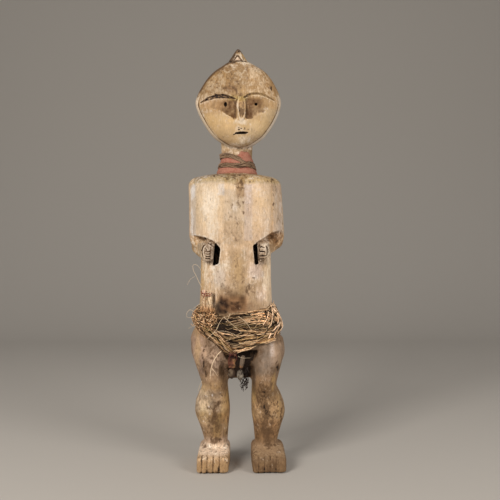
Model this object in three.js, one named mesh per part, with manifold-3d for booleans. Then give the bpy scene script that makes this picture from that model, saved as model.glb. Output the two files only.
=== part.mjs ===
// A carved wooden guardian figure: one log cut into a disc-faced head, a block of chest and arms, a round
// belly and two bowed legs. It wears a strip of cloth and two rounds of cord at the neck, and a skirt of palm
// fibre at the hips with small charms hanging in front. Millimetres, +Z up. The figure faces -Y, and the
// origin is on the ground between its feet. Left and right are those of someone who looks at its face.
import * as THREE from "three";
import { mergeVertices } from "three/addons/utils/BufferGeometryUtils.js";
import Module from "manifold-3d";

const wasm = await Module();
wasm.setup();

// Driving sizes
const CLEARANCE = 0.3; // gap left between the pieces that touch
const WOOD_COLOUR = 0xcdb08a;
const FIBRE_COLOUR = 0xa98a5f;
const CLOTH_COLOUR = 0xb35f52;
const CORD_COLOUR = 0x7d6a50;
const THREAD_COLOUR = 0x8e3b30;
const BARK_COLOUR = 0x5d3324;
const PEG_COLOUR = 0xb89a74;
const CHARM_COLOUR = 0x8a8480;
const TASSEL_COLOUR = 0x2b2420;

// Upright forms: height, middle across, half width, reach to the front, reach to the back, squareness
const TRUNK = [
  [167, 1, 23, 18, 26, 2.2],
  [186, 1, 28, 30, 38, 2.3],
  [200, 2, 76, 42, 46, 2.6],
  [214, 0, 85, 52, 56, 2.6],
  [240, -3.5, 87, 58, 61, 2.5],
  [252, -6, 82, 58, 60, 2.5],
  [268, -3, 78, 58, 60, 2.5],
  [300, -5, 70, 60, 55, 2.5],
  [350, -5, 67.5, 61, 53, 2.5],
  [390, -5, 67, 61, 54, 2.6],
  [430, -5, 66, 61, 56, 2.8],
  [530, -5, 64, 58, 54, 3],
  [548, -5, 52, 44, 44, 2.6],
];
const CHEST = [
  [416, -3.5, 84, 61, 56, 3.2],
  [450, -3.5, 84, 62, 58, 3.2],
  [490, -5, 83, 63, 60, 3.2],
  [524, -7, 81, 62, 59, 3.2],
  [538, -7.5, 79, 58, 56, 3.1],
  [547, -8, 72, 49, 50, 2.9],
  [553, -7, 58, 38, 42, 2.6],
];
const NECK = [
  [540, -3.5, 40, 34, 37, 2.2],
  [556, -3.5, 37, 32, 34, 2.1],
  [570, -3.5, 32.5, 29, 31, 2],
  [585, -3.5, 29, 26.5, 29, 2],
  [600, -3.5, 29.6, 26.5, 29.5, 2],
  [640, -2, 31, 28, 32, 2],
];
const HEAD = [
  [604, 1, 12, 22, 8, 2.2],
  [608, 1, 24, 28, 11, 2.2],
  [615, 0.5, 35.5, 33, 17, 2.3],
  [625, 0.5, 48, 37, 29, 2.4],
  [641, 0.5, 60.5, 40, 53, 2.5],
  [657, 0.5, 70, 42, 66, 2.6],
  [673, 0, 77.5, 43, 72, 2.6],
  [689, -0.5, 81.5, 43, 75, 2.6],
  [704, 0, 78, 42, 76, 2.6],
  [719, 0.5, 71, 40, 75, 2.5],
  [734, 1, 62, 37, 70, 2.4],
  [749, 1.5, 49, 31, 61, 2.3],
  [758, 1, 36, 26, 52, 2.2],
  [767, 0, 22, 18, 38, 2.1],
  [773, -1, 10, 8, 20, 2],
];
const FACE_PLANE = -18; // where the widest outline of the head lies, front to back

// Both legs: height, spread from the middle, half width, front, back, squareness
const LEG = [
  [26, 48.5, 22, 22, 27, 2.3],
  [50, 48, 22.5, 24, 27, 2.3],
  [63, 49, 24.5, 26, 31, 2.4],
  [78, 50.5, 27.5, 30, 38, 2.5],
  [106, 53, 33, 36, 48, 2.5],
  [121, 52.4, 32, 38, 47, 2.5],
  [137, 50, 28.5, 43, 41, 2.5],
  [156, 47, 24.3, 53, 32, 2.4],
  [172, 48.5, 26.5, 58, 36, 2.4],
  [199, 52.8, 30.6, 60, 47, 2.5],
  [216, 55.3, 33, 56, 51, 2.6],
  [244, 46, 38, 48, 52, 2.6],
];
// The middle of the stance, which leans from the hips to the feet: height, across
const STANCE = [
  [0, 5],
  [50, 5],
  [156, 2],
  [216, 0],
  [244, 0],
];
// Both feet: place from heel to toe, spread from the middle, half width, height
const FOOT = [
  [-52, 49, 21, 24],
  [-45, 49, 26, 34],
  [-10, 50, 29, 46],
  [20, 51, 29.5, 40],
  [42, 52, 29.5, 32],
  [53, 52, 29, 28],
  [56, 52, 27, 24],
];
const LEG_WIDTH = { left: 1, right: 0.96 };
const FOOT_WIDTH = { left: 1, right: 1.06 };
const SOLE_CUT = 4; // how much of a round underside the flat sole takes off
const TOE_GROOVES = { left: [-67.5, -57.5, -46.5, -35.5], right: [37, 47.5, 58.5, 69] };
const TOE_FRONT = -56;
const GROOVE = 2; // half width of a carved groove

// Both upper arms, flat against the chest: height, spread, half width, front, back, squareness
const ARM = [
  [415, 73.5, 11, 22, 28, 2.4],
  [424, 75.5, 13, 25, 31, 2.6],
  [440, 77, 14.5, 24, 30, 2.7],
  [500, 74, 14.5, 24, 30, 2.7],
  [534, 74.5, 14, 24, 30, 2.7],
  [545, 73, 11, 19, 25, 2.4],
];
const ELBOW = {
  left: { x: -79, y: 24, z: 425, half: [14, 20] },
  right: { x: 72, y: 24, z: 428, half: [13, 19] },
};
const FIST = {
  left: { x: -54.5, y: -63, z: 403, half: [11.5, 16.8] },
  right: { x: 43, y: -63, z: 402.5, half: [9.8, 16.8] },
};
// The chest's lower edge on each side, which climbs outward: out from the middle, height
const CHEST_EDGE = {
  left: [[0, 404], [26, 405], [35, 416.5], [41.5, 423], [51, 428], [61, 432], [88, 438.5]],
  right: [[0, 404], [26, 405.5], [33, 417.5], [38, 422.5], [50, 431], [62, 439], [84, 447.5]],
};
const CHEST_MIDDLE = -3;
// The deep narrow cut between each fist and the belly, seen from in front: its corners, across and up
const SLOT = {
  left: [[-46.6, 383], [-37, 383], [-32, 410.5], [-43.4, 421]],
  right: [[30, 383], [36.6, 383], [33.6, 421], [26, 416]],
};
const SLOT_FRONT = -110;
const SLOT_BACK = -22;

// The crest, a ridge over the head: place from front to back, top, half width at its top and at its foot
const CREST = [
  [-29, 769, 11, 13],
  [-19, 784, 6.4, 17],
  [-8, 799, 2.4, 18],
  [2, 800, 2.4, 18],
  [25, 790, 2.4, 16],
  [43, 770, 2.4, 14],
  [56, 735, 2.4, 11],
];
const CREST_DROP = 24; // from its top to its foot
const CREST_X = -1;
const CREST_MARK = { base: -27, tip: -12, inset: 2.4, half: 1.1 }; // a grooved triangle on its front

// Brows, as points across and up the face, and the other marks of the face
const BROWS = [
  [[-66, 681.5], [-50, 691.5], [-31, 695], [-14, 693], [0, 690.5]],
  [[10, 690.5], [22, 697], [35, 699], [51, 695.5], [66, 688.5]],
];
const BROW_DEPTH = 2.6;
const EYE_HOLLOWS = [-27, 34]; // middle of each hollow, across
const EYE_HOLLOW = { z: 675, halfX: 30, halfY: 8, halfZ: 15 };
const EYES = [
  [-24.3, 677.2, 2.6, 3.9],
  [32.2, 678, 2.6, 2.5],
];
const NOSE = { x: 4.5, low: 642, high: 694, half: 8 };
const MOUTH = { x: 5.5, z: 626, half: 11.5, open: 1.9 };

// Neck cloth: direction from the front in degrees, low edge, high edge, thickness
const NECK_CLOTH = [
  [-180, 555, 588, 2.2],
  [-90, 555, 586, 2.4],
  [-20, 553, 586, 2],
  [6, 553, 591, 2],
  [18, 553, 597, 2],
  [40, 553, 597, 2],
  [70, 553.5, 588, 2.2],
  [90, 554, 585, 2.2],
  [180, 555, 588, 2.2],
];
// Two rounds of flat cord over the cloth: direction from the front, height of the first, of the second
const CORD_LEVELS = [
  [-180, 574, 580],
  [-90, 591, 572],
  [-40, 590, 571],
  [-15, 587, 569.5],
  [8, 581.5, 568.7],
  [26, 574.5, 571],
  [50, 570, 574.5],
  [90, 569, 573.5],
  [180, 574, 580],
];
const CORD = { off: 2.9, halfOut: 1.3, halfUp: 4.4 };

// Skirt: direction from the front in degrees, low edge, high edge, thickness
const SKIRT = [
  [-180, 262, 300, 12],
  [-120, 262, 302, 11],
  [-85, 266, 304, 9],
  [-62, 264, 303, 8],
  [-36, 249, 297, 9],
  [-16, 230, 293, 10],
  [-6, 224, 293, 11],
  [14, 231, 296, 10],
  [40, 244, 302, 10],
  [62, 249, 308, 10],
  [90, 251, 309, 9.5],
  [130, 260, 304, 11],
  [180, 262, 300, 12],
];
const KNOT = { x: -61, y: -46, z: 284, halfX: 26, halfY: 22, halfZ: 23 };
const BUNDLE = { x: -58.5, y: -61, low: 288, high: 338, radius: 8.5 };
const BUNDLE_THREAD = { z: 329, thick: 1.6 };
const STEM = { x: -10, y: -67.5, low: 217, high: 240, radius: 5.5 };
const FRONT_THREAD = { z: 221, thick: 1.9 };

// Charms that hang under the knot of threads in front
const PACKET = { x: -12, y: -66, low: 193.5, high: 216.4, halfX: 6.5, halfY: 4.4 };
const PEG = { x: 6.5, y: -66, low: 193.5, high: 217, radius: 4.2 };
const POD_CHARM = { x: -12.5, y: -66, z: 184, halfX: 7.2, halfY: 4.4, halfZ: 9.2 };
const SHELL_CHARM = { x: 3, y: -66, z: 182.5, halfX: 6, halfY: 4.6, halfZ: 10.6 };
const TASSEL = [
  [148, 4, 1.2, 1.2, 1.2, 2],
  [158, 7, 4.5, 3.6, 3.6, 2],
  [168, 12.5, 6, 4.4, 4.4, 2],
  [180, 15.5, 5.8, 4.4, 4.4, 2],
  [193, 13.5, 3, 3, 3, 2],
];
const TASSEL_Y = -61;

// The columns of a table at any place along its first one, on smooth curves that never overshoot its rows.
function along(table, place) {
  const last = table.length - 1;
  const at = Math.min(Math.max(place, table[0][0]), table[last][0]);
  let k = 0;
  while (k < last - 1 && table[k + 1][0] < at) k++;
  const step = table[k + 1][0] - table[k][0];
  const t = (at - table[k][0]) / step;
  const rise = (i, c) => (table[i + 1][c] - table[i][c]) / (table[i + 1][0] - table[i][0]);
  const slope = (i, c) => {
    if (i === 0) return rise(0, c);
    if (i === last) return rise(last - 1, c);
    const [before, after] = [rise(i - 1, c), rise(i, c)];
    return before * after > 0 ? (2 * before * after) / (before + after) : 0;
  };
  return table[0].slice(1).map((_, i) => {
    const c = i + 1;
    return (
      table[k][c] * (1 + 2 * t) * (1 - t) ** 2 +
      table[k + 1][c] * t * t * (3 - 2 * t) +
      slope(k, c) * step * t * (1 - t) ** 2 -
      slope(k + 1, c) * step * t * t * (1 - t)
    );
  });
}

// A power of a number that keeps its sign.
const bent = (value, power) => Math.sign(value) * Math.abs(value) ** power;

// Evenly spaced values from first to last.
const spaced = (first, last, count) =>
  Array.from({ length: count }, (_, i) => first + ((last - first) * i) / (count - 1));

// The point of an upright form's section at a height and an angle from +X, grown by some millimetres.
function onSection(table, height, angle, grow = 0, planeY = 0) {
  const [x, half, front, back, square] = along(table, height);
  const across = bent(Math.cos(angle), 2 / square);
  const deep = bent(Math.sin(angle), 2 / square);
  const reach = deep < 0 ? front : back;
  return new THREE.Vector3(x + across * (half + grow), planeY + deep * (reach + grow), height);
}

// A three.js shape as a solid for joining and cutting.
function solid(shape) {
  shape.deleteAttribute("normal");
  shape.deleteAttribute("uv");
  const merged = mergeVertices(shape, 1e-4);
  return new wasm.Manifold(
    new wasm.Mesh({
      numProp: 3,
      vertProperties: new Float32Array(merged.attributes.position.array),
      triVerts: new Uint32Array(merged.index.array),
    }),
  );
}

// A closed drum of rings; place(ring value, angle from +X, share of the way out) says where each point goes.
function drum(sides, rings, place) {
  const shape = new THREE.CylinderGeometry(1, 1, 1, sides, rings.length - 1);
  shape.rotateX(Math.PI / 2);
  const point = shape.attributes.position;
  for (let i = 0; i < point.count; i++) {
    const ring = rings[Math.round((point.getZ(i) + 0.5) * (rings.length - 1))];
    const out = Math.hypot(point.getX(i), point.getY(i)) > 0.5 ? 1 : 0;
    const spot = place(ring, Math.atan2(point.getY(i), point.getX(i)), out);
    point.setXYZ(i, spot.x, spot.y, spot.z);
  }
  return solid(shape);
}

// An upright form through its table, with rings about every step millimetres.
function upright(table, sides, step, grow = 0, planeY = 0) {
  const [low, high] = [table[0][0], table[table.length - 1][0]];
  const rings = spaced(low, high, Math.max(3, Math.round((high - low) / step)));
  return drum(sides, rings, (height, angle, out) => {
    const spot = onSection(table, height, angle, grow, planeY);
    const [x] = along(table, height);
    spot.x = x + (spot.x - x) * out;
    spot.y = planeY + (spot.y - planeY) * out;
    if (height === low) spot.z -= grow;
    if (height === high) spot.z += grow;
    return spot;
  });
}

// A table for one side of the body from one that gives the spread of both, with its width scaled.
function sided(table, side, middle, width = 1) {
  const sign = side === "left" ? -1 : 1;
  return table.map(([place, spread, half, ...rest]) => [
    place,
    middle(place) + sign * spread,
    half * width,
    ...rest,
  ]);
}

const legTable = (side) => sided(LEG, side, (z) => along(STANCE, z)[0], LEG_WIDTH[side]);
const footTable = (side) => sided(FOOT, side, () => STANCE[0][1], FOOT_WIDTH[side]);
const armTable = (side) => sided(ARM, side, (z) => along(CHEST, z)[0]);
const SIDES = ["left", "right"];

// The chest and shoulders, whose lower edge climbs from the belly to the elbows.
function chest(grow = 0) {
  const low = CHEST[0][0];
  const rings = [low, 470, 518, 535, 546, 553];
  return drum(32, rings, (height, angle, out) => {
    const spot = onSection(CHEST, height, angle, grow);
    const [x] = along(CHEST, height);
    spot.x = x + (spot.x - x) * out;
    spot.y *= out;
    const edge = CHEST_EDGE[spot.x < CHEST_MIDDLE ? "left" : "right"];
    if (height === low) spot.z = along(edge, Math.abs(spot.x - CHEST_MIDDLE))[0] - grow;
    if (height === 553) spot.z += grow;
    return spot;
  });
}

// A forearm from elbow to fist, a rounded bar that thins and drops as it comes forward.
function forearm(side, grow = 0) {
  const [bend, fist] = [ELBOW[side], FIST[side]];
  const elbow = new THREE.Vector3(bend.x, bend.y, bend.z);
  const way = new THREE.Vector3(fist.x, fist.y, fist.z).sub(elbow);
  const flat = new THREE.Vector3(way.x, way.y, 0).normalize();
  const across = new THREE.Vector3(-flat.y, flat.x, 0);
  const rings = [-0.06, 0.02, 0.3, 0.6, 0.85, 0.97, 1];
  const slim = [0.7, 1, 1, 1, 1, 0.97, 0.84];
  return drum(12, rings, (share, angle, out) => {
    const swell = slim[rings.indexOf(share)];
    const wide = THREE.MathUtils.lerp(bend.half[0], fist.half[0], share) * swell + grow;
    const tall = THREE.MathUtils.lerp(bend.half[1], fist.half[1], share) * swell + grow;
    return elbow
      .clone()
      .addScaledVector(way, share)
      .addScaledVector(across, bent(Math.cos(angle), 0.55) * wide * out)
      .add(new THREE.Vector3(0, 0, bent(Math.sin(angle), 0.55) * tall * out));
  });
}

// A foot, a long block with a flat sole, a rounded heel and an upright front.
function foot(side) {
  const table = footTable(side);
  const rings = [-52, -47, -34, -8, 18, 38, 52, 56];
  return drum(16, rings, (place, angle, out) => {
    const [x, half, height] = along(table, place);
    const across = bent(Math.cos(angle), 0.42) * half * out;
    const reach = height / 2 + (Math.sin(angle) < 0 ? SOLE_CUT : 0);
    const up = height / 2 + bent(Math.sin(angle), 0.42) * reach * out;
    return new THREE.Vector3(x + across, -place, Math.max(0, up));
  });
}

// The crest: a ridge with sloping sides, high in front, that sinks over the back of the head.
function crest() {
  const rings = [-29, -24, -19, -13, -8, 2, 14, 25, 43, 56];
  const corners = (high, half) => [
    [-half * 0.7, -44],
    [half * 0.7, -44],
    [half, -CREST_DROP],
    [high, 0],
    [-high, 0],
    [-half, -CREST_DROP],
  ];
  return drum(6, rings, (place, angle, out) => {
    const [top, high, half] = along(CREST, place);
    const corner = (Math.round((angle + Math.PI / 2) / (Math.PI / 3)) + 6) % 6;
    const [across, drop] = corners(high, half)[corner];
    return new THREE.Vector3(CREST_X - across * out, place, top - 30 + (drop + 30) * out);
  });
}

// A point on the crest's sloping front, on its middle line or out to either side of it.
function onCrest(place, side) {
  const [top, high] = along(CREST, place);
  return new THREE.Vector3(CREST_X + side * (high - CREST_MARK.inset), place, top);
}

// A round rod along a curve through points, for grooves and for bound things.
function rod(points, radius, sides, steps) {
  const ring = spaced(0, 2 * Math.PI, sides + 1)
    .slice(0, sides)
    .map((a) => new THREE.Vector2(radius * Math.cos(a), radius * Math.sin(a)));
  const shape = new THREE.ExtrudeGeometry(new THREE.Shape(ring), {
    steps,
    extrudePath: new THREE.CatmullRomCurve3(points),
    bevelEnabled: false,
  });
  return solid(shape);
}

// An egg-shaped lump at a place, with the given half sizes.
function lump(x, y, z, halfX, halfY, halfZ, sides = 12, rings = 8) {
  const shape = new THREE.SphereGeometry(1, sides, rings);
  shape.rotateX(Math.PI / 2).scale(halfX, halfY, halfZ).translate(x, y, z);
  return solid(shape);
}

// A ring of thread wound round something upright.
function windings(x, y, z, inner, thick) {
  const shape = new THREE.TorusGeometry(inner + thick, thick, 5, 12);
  shape.scale(1, 1, 1.9).translate(x, y, z);
  return solid(shape);
}

// How far forward the face lies at a place across and up it.
function faceY(x, z) {
  const [middle, half, front, , square] = along(HEAD, z);
  const share = Math.min(1, Math.abs(x - middle) / half);
  return FACE_PLANE - front * (1 - share ** square) ** (1 / square);
}
const onFace = ([x, z]) => new THREE.Vector3(x, faceY(x, z), z);

// The nose, a long low ridge between the hollows of the eyes that narrows at both ends.
function nose() {
  const heights = [NOSE.low, NOSE.low + 5, NOSE.low + 18, NOSE.high - 18, NOSE.high];
  const wide = [0.45, 0.95, 1, 0.8, 0.6];
  const proud = [-1, 4, 4, 2, -1];
  return drum(8, heights, (height, angle, out) => {
    const i = heights.indexOf(height);
    const across = bent(Math.cos(angle), 0.6) * NOSE.half * wide[i] * out;
    const forward = bent(Math.sin(angle), 0.6) * (proud[i] + 8) * out;
    return new THREE.Vector3(NOSE.x + across, faceY(NOSE.x, height) + 8 + forward, height);
  });
}

// The cuts that shape one hand and one foot.
function limbCuts(side) {
  const cuts = [];
  const outline = new THREE.Shape(SLOT[side].map(([x, z]) => new THREE.Vector2(x, z)));
  const depth = SLOT_BACK - SLOT_FRONT;
  const slot = new THREE.ExtrudeGeometry(outline, { depth, bevelEnabled: false });
  slot.rotateX(Math.PI / 2);
  slot.translate(0, SLOT_BACK, 0);
  cuts.push(solid(slot));
  const fist = FIST[side];
  for (const up of [8.5, 0.5, -7.5]) {
    const across = [-fist.half[0] - 3, 0, fist.half[0] * 0.55].map((x) => fist.x - Math.sign(fist.x) * x);
    const points = across.map((x) => new THREE.Vector3(x, fist.y - 1, fist.z + up));
    cuts.push(rod(points, GROOVE * 0.8, 4, 2));
  }
  const bend = [[-2, TOE_FRONT], [14, TOE_FRONT], [27, TOE_FRONT + 3], [35, TOE_FRONT + 16]];
  for (const x of TOE_GROOVES[side]) {
    cuts.push(rod(bend.map(([z, y]) => new THREE.Vector3(x, y, z)), GROOVE, 4, 6));
  }
  return cuts;
}

// The cuts of the face and of the crest's front.
function faceCuts() {
  const cuts = BROWS.map((brow) => rod(brow.map(onFace), BROW_DEPTH, 4, 8));
  const { base, tip, half } = CREST_MARK;
  const [left, right] = [-1, 1].map((side) => onCrest(base, side));
  for (const foot of [left, right]) cuts.push(rod([foot, onCrest(tip, 0)], half, 4, 1));
  cuts.push(rod([left, right], half, 4, 1));
  for (const [x, z, halfX, halfZ] of EYES) cuts.push(lump(x, faceY(x, z) + 3, z, halfX, 9, halfZ, 8, 6));
  cuts.push(lump(MOUTH.x, faceY(MOUTH.x, MOUTH.z), MOUTH.z, MOUTH.half, 7, MOUTH.open, 12, 6));
  return cuts;
}

// The body without its small cuts, grown by some millimetres.
function body(grow) {
  let wood = upright(TRUNK, 28, 28, grow).add(chest(grow)).add(upright(NECK, 18, 15, grow));
  for (const side of SIDES) wood = wood.add(upright(legTable(side), 16, 17, grow));
  for (const x of [-36, 36]) wood = wood.add(lump(x, 40, 228, 37 + grow, 26 + grow, 34 + grow, 12, 8));
  return wood;
}

// The carved log: every form joined, then the cuts of the knife.
function figure() {
  let log = body(0).add(upright(HEAD, 30, 10.5, 0, FACE_PLANE)).add(crest());
  for (const side of SIDES) {
    log = log.add(foot(side)).add(upright(armTable(side), 12, 22)).add(forearm(side));
  }
  const { z, halfX, halfY, halfZ } = EYE_HOLLOW;
  for (const x of EYE_HOLLOWS) log = log.subtract(lump(x, faceY(x, z) - 2, z, halfX, halfY, halfZ, 14, 8));
  log = log.add(nose());
  for (const cut of [...limbCuts("left"), ...limbCuts("right"), ...faceCuts()]) log = log.subtract(cut);
  return log;
}

// A closed band round an upright form, from low and high edges and thickness by direction from the front.
function band(table, form, sides) {
  const shape = new THREE.TorusGeometry(1, 0.4, 6, sides);
  const point = shape.attributes.position;
  for (let i = 0; i < point.count; i++) {
    const angle = Math.atan2(point.getY(i), point.getX(i));
    const out = (Math.hypot(point.getX(i), point.getY(i)) - 1) / 0.4;
    const up = point.getZ(i) / 0.4;
    const direction = THREE.MathUtils.radToDeg(Math.atan2(Math.cos(angle), -Math.sin(angle)));
    const [low, high, thick] = along(table, direction);
    const height = (low + high) / 2 + (bent(up, 0.7) * (high - low)) / 2;
    const spot = onSection(form, height, angle);
    const away = new THREE.Vector3(Math.cos(angle), Math.sin(angle), 0);
    spot.addScaledVector(away, (thick + CLEARANCE - 4) / 2 + (bent(out, 0.7) * (thick + CLEARANCE + 4)) / 2);
    point.setXYZ(i, spot.x, spot.y, spot.z);
  }
  return solid(shape);
}

// The neck cord, two rounds that cross in front.
function neckCord() {
  const rounds = [0, 1].map((turn) => {
    const shape = new THREE.TorusGeometry(1, 0.4, 4, 28);
    const point = shape.attributes.position;
    for (let i = 0; i < point.count; i++) {
      const angle = Math.atan2(point.getY(i), point.getX(i));
      const out = (Math.hypot(point.getX(i), point.getY(i)) - 1) / 0.4;
      const direction = THREE.MathUtils.radToDeg(Math.atan2(Math.cos(angle), -Math.sin(angle)));
      const level = along(CORD_LEVELS, direction)[turn];
      const height = level + (point.getZ(i) / 0.4) * CORD.halfUp;
      const spot = onSection(NECK, height, angle, CORD.off + CLEARANCE + CORD.halfOut * (1 + out));
      point.setXYZ(i, spot.x, spot.y, spot.z);
    }
    return solid(shape);
  });
  return rounds[0].add(rounds[1]);
}

// The skirt: a thick band of fibre round the hips, knotted to a mop on one hip, with a bundle standing up
// from the knot and a gathered stem at its lowest point in front.
function skirt() {
  const upTo = (x, y, low, high) => [new THREE.Vector3(x, y, low), new THREE.Vector3(x, y, high)];
  const gathered = upTo(STEM.x, STEM.y, STEM.low, STEM.high);
  const standing = upTo(BUNDLE.x, BUNDLE.y, BUNDLE.low, BUNDLE.high);
  return band(SKIRT, TRUNK, 40)
    .add(lump(KNOT.x, KNOT.y, KNOT.z, KNOT.halfX, KNOT.halfY, KNOT.halfZ))
    .add(rod(standing, BUNDLE.radius, 10, 1))
    .add(rod(gathered, STEM.radius, 8, 1))
    .subtract(body(CLEARANCE));
}

// A short round thing that hangs upright and narrows at its foot.
function hanging({ x, y, low, high, radius, halfX = radius, halfY = radius }) {
  const table = [
    [low, x, halfX * 0.5, halfY * 0.5, halfY * 0.5, 2],
    [low + (high - low) * 0.25, x, halfX * 0.85, halfY * 0.85, halfY * 0.85, 2.2],
    [high, x, halfX, halfY, halfY, 2.2],
  ];
  return upright(table, 10, (high - low) / 4, 0, y);
}

const group = new THREE.Group();

// Adds a solid to the object as a named mesh.
function piece(name, made, colour, roughness) {
  const mesh = made.getMesh();
  const shape = new THREE.BufferGeometry();
  shape.setAttribute("position", new THREE.BufferAttribute(mesh.vertProperties, 3));
  shape.setIndex(new THREE.BufferAttribute(mesh.triVerts, 1));
  shape.computeVertexNormals();
  const material = new THREE.MeshStandardMaterial({ color: colour, roughness, metalness: 0 });
  const node = new THREE.Mesh(shape, material);
  node.name = name;
  group.add(node);
}

piece("carved_figure", figure(), WOOD_COLOUR, 0.8);
piece("neck_cloth", band(NECK_CLOTH, NECK, 24).subtract(body(CLEARANCE)), CLOTH_COLOUR, 0.9);
piece("neck_cord", neckCord(), CORD_COLOUR, 0.85);
piece("fibre_skirt", skirt(), FIBRE_COLOUR, 0.9);
piece(
  "bundle_thread",
  windings(BUNDLE.x, BUNDLE.y, BUNDLE_THREAD.z, BUNDLE.radius + CLEARANCE, BUNDLE_THREAD.thick),
  THREAD_COLOUR,
  0.8,
);
piece(
  "front_thread",
  windings(STEM.x, STEM.y, FRONT_THREAD.z, STEM.radius + CLEARANCE, FRONT_THREAD.thick),
  THREAD_COLOUR,
  0.8,
);
piece("bark_packet", hanging(PACKET), BARK_COLOUR, 0.8);
piece("wooden_peg", hanging(PEG), PEG_COLOUR, 0.7);
for (const [name, charm] of [["pod_charm", POD_CHARM], ["shell_charm", SHELL_CHARM]]) {
  const { x, y, z, halfX, halfY, halfZ } = charm;
  piece(name, lump(x, y, z, halfX, halfY, halfZ, 10, 6), CHARM_COLOUR, 0.5);
}
piece("knotted_tassel", upright(TASSEL, 8, 6, 0, TASSEL_Y), TASSEL_COLOUR, 0.8);

// The object's middle stands over the origin.
const middle = new THREE.Box3().setFromObject(group).getCenter(new THREE.Vector3());
group.position.set(-middle.x, -middle.y, 0);

export default group;
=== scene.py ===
import math

import bmesh
import bpy
import numpy as np
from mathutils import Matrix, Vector


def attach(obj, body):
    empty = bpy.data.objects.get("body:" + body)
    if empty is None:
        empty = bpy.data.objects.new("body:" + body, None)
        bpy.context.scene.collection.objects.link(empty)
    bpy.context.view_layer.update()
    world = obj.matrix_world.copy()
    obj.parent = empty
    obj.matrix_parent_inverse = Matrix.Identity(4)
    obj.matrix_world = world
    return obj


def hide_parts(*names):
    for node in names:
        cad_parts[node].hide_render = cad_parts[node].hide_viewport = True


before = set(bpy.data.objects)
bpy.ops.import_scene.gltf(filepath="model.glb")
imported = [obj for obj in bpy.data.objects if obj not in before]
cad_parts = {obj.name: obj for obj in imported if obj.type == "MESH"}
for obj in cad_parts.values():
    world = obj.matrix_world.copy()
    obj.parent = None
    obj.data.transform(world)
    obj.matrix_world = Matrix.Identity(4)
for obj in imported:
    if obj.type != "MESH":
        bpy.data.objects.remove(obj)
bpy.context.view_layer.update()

# The camera stands a little above the middle of the figure and about 1.2 m in front of it. It looks up by
# 1.8 degrees and aside by 1.05 degrees, with the lens that gives the photograph's perspective.
lens = bpy.data.cameras.new("studio_camera")
lens.lens = 44.95
lens.sensor_width = 36
camera = bpy.data.objects.new("studio_camera", lens)
camera.location = (0.003517, -1.201197, 0.3724)
camera.rotation_euler = (math.radians(91.80), 0, math.radians(-1.05))
bpy.context.scene.collection.objects.link(camera)
bpy.context.scene.camera = camera

# The carved log. The whole figure is one piece of pale wood, cut with adze and knife into a disc-faced
# head, a block of chest and arms, a round belly and two bowed legs, then rubbed with white earth and darkened
# by smoke and handling. Its tables are those of the CAD, in millimetres from the carver's own centre line.
CENTRE_LINE = np.array([3.517, 3.203, 0.0])  # from the carver's centre line to the object's middle
# Upright forms: height, middle across, half width, reach to the front, reach to the back, squareness
TRUNK = [
    (167, 1, 23, 18, 26, 2.2),
    (186, 1, 28, 30, 38, 2.3),
    (200, 2, 76, 42, 46, 2.6),
    (214, 0, 85, 52, 56, 2.6),
    (240, -3.5, 87, 58, 61, 2.5),
    (252, -6, 82, 58, 60, 2.5),
    (268, -3, 78, 58, 60, 2.5),
    (300, -5, 70, 60, 55, 2.5),
    (350, -5, 67.5, 61, 53, 2.5),
    (390, -5, 67, 61, 54, 2.6),
    (430, -5, 66, 61, 56, 2.8),
    (530, -5, 64, 58, 54, 3),
    (548, -5, 52, 44, 44, 2.6),
]
CHEST = [
    (416, -3.5, 84, 61, 56, 3.2),
    (450, -3.5, 84, 62, 58, 3.2),
    (490, -5, 83, 63, 60, 3.2),
    (524, -7, 81, 62, 59, 3.2),
    (538, -7.5, 79, 58, 56, 3.1),
    (547, -8, 72, 49, 50, 2.9),
    (553, -7, 58, 38, 42, 2.6),
]
# The chest's lower edge on each side: out from the middle, height
CHEST_EDGE = {
    -1: [(0, 404), (26, 405), (35, 416.5), (41.5, 423), (51, 428), (61, 432), (88, 438.5)],
    1: [(0, 404), (26, 405.5), (33, 417.5), (38, 422.5), (50, 431), (62, 439), (84, 447.5)],
}
NECK = [
    (540, -3.5, 40, 34, 37, 2.2),
    (556, -3.5, 37, 32, 34, 2.1),
    (570, -3.5, 32.5, 29, 31, 2),
    (585, -3.5, 29, 26.5, 29, 2),
    (600, -3.5, 29.6, 26.5, 29.5, 2),
    (640, -2, 31, 28, 32, 2),
]
HEAD = [
    (604, 1, 12, 22, 8, 2.2),
    (608, 1, 24, 28, 11, 2.2),
    (615, 0.5, 35.5, 33, 17, 2.3),
    (625, 0.5, 48, 37, 29, 2.4),
    (641, 0.5, 60.5, 40, 53, 2.5),
    (657, 0.5, 70, 42, 66, 2.6),
    (673, 0, 77.5, 43, 72, 2.6),
    (689, -0.5, 81.5, 43, 75, 2.6),
    (704, 0, 78, 42, 76, 2.6),
    (719, 0.5, 71, 40, 75, 2.5),
    (734, 1, 62, 37, 70, 2.4),
    (749, 1.5, 49, 31, 61, 2.3),
    (758, 1, 36, 26, 52, 2.2),
    (767, 0, 22, 18, 38, 2.1),
    (773, -1, 10, 8, 20, 2),
]
FACE_PLANE = -18.0  # where the widest outline of the head lies, front to back
# Both legs: height, spread from the middle of the stance, half width, front, back, squareness
LEG = [
    (26, 48.5, 22, 22, 27, 2.3),
    (50, 48, 22.5, 24, 27, 2.3),
    (63, 49, 24.5, 26, 31, 2.4),
    (78, 50.5, 27.5, 30, 38, 2.5),
    (106, 53, 33, 36, 48, 2.5),
    (121, 52.4, 32, 38, 47, 2.5),
    (137, 50, 28.5, 43, 41, 2.5),
    (156, 47, 24.3, 53, 32, 2.4),
    (172, 48.5, 26.5, 58, 36, 2.4),
    (199, 52.8, 30.6, 60, 47, 2.5),
    (216, 55.3, 33, 56, 51, 2.6),
    (244, 46, 38, 48, 52, 2.6),
]
STANCE = [(0, 5), (50, 5), (156, 2), (216, 0), (244, 0)]  # height, middle of the stance across
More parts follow.
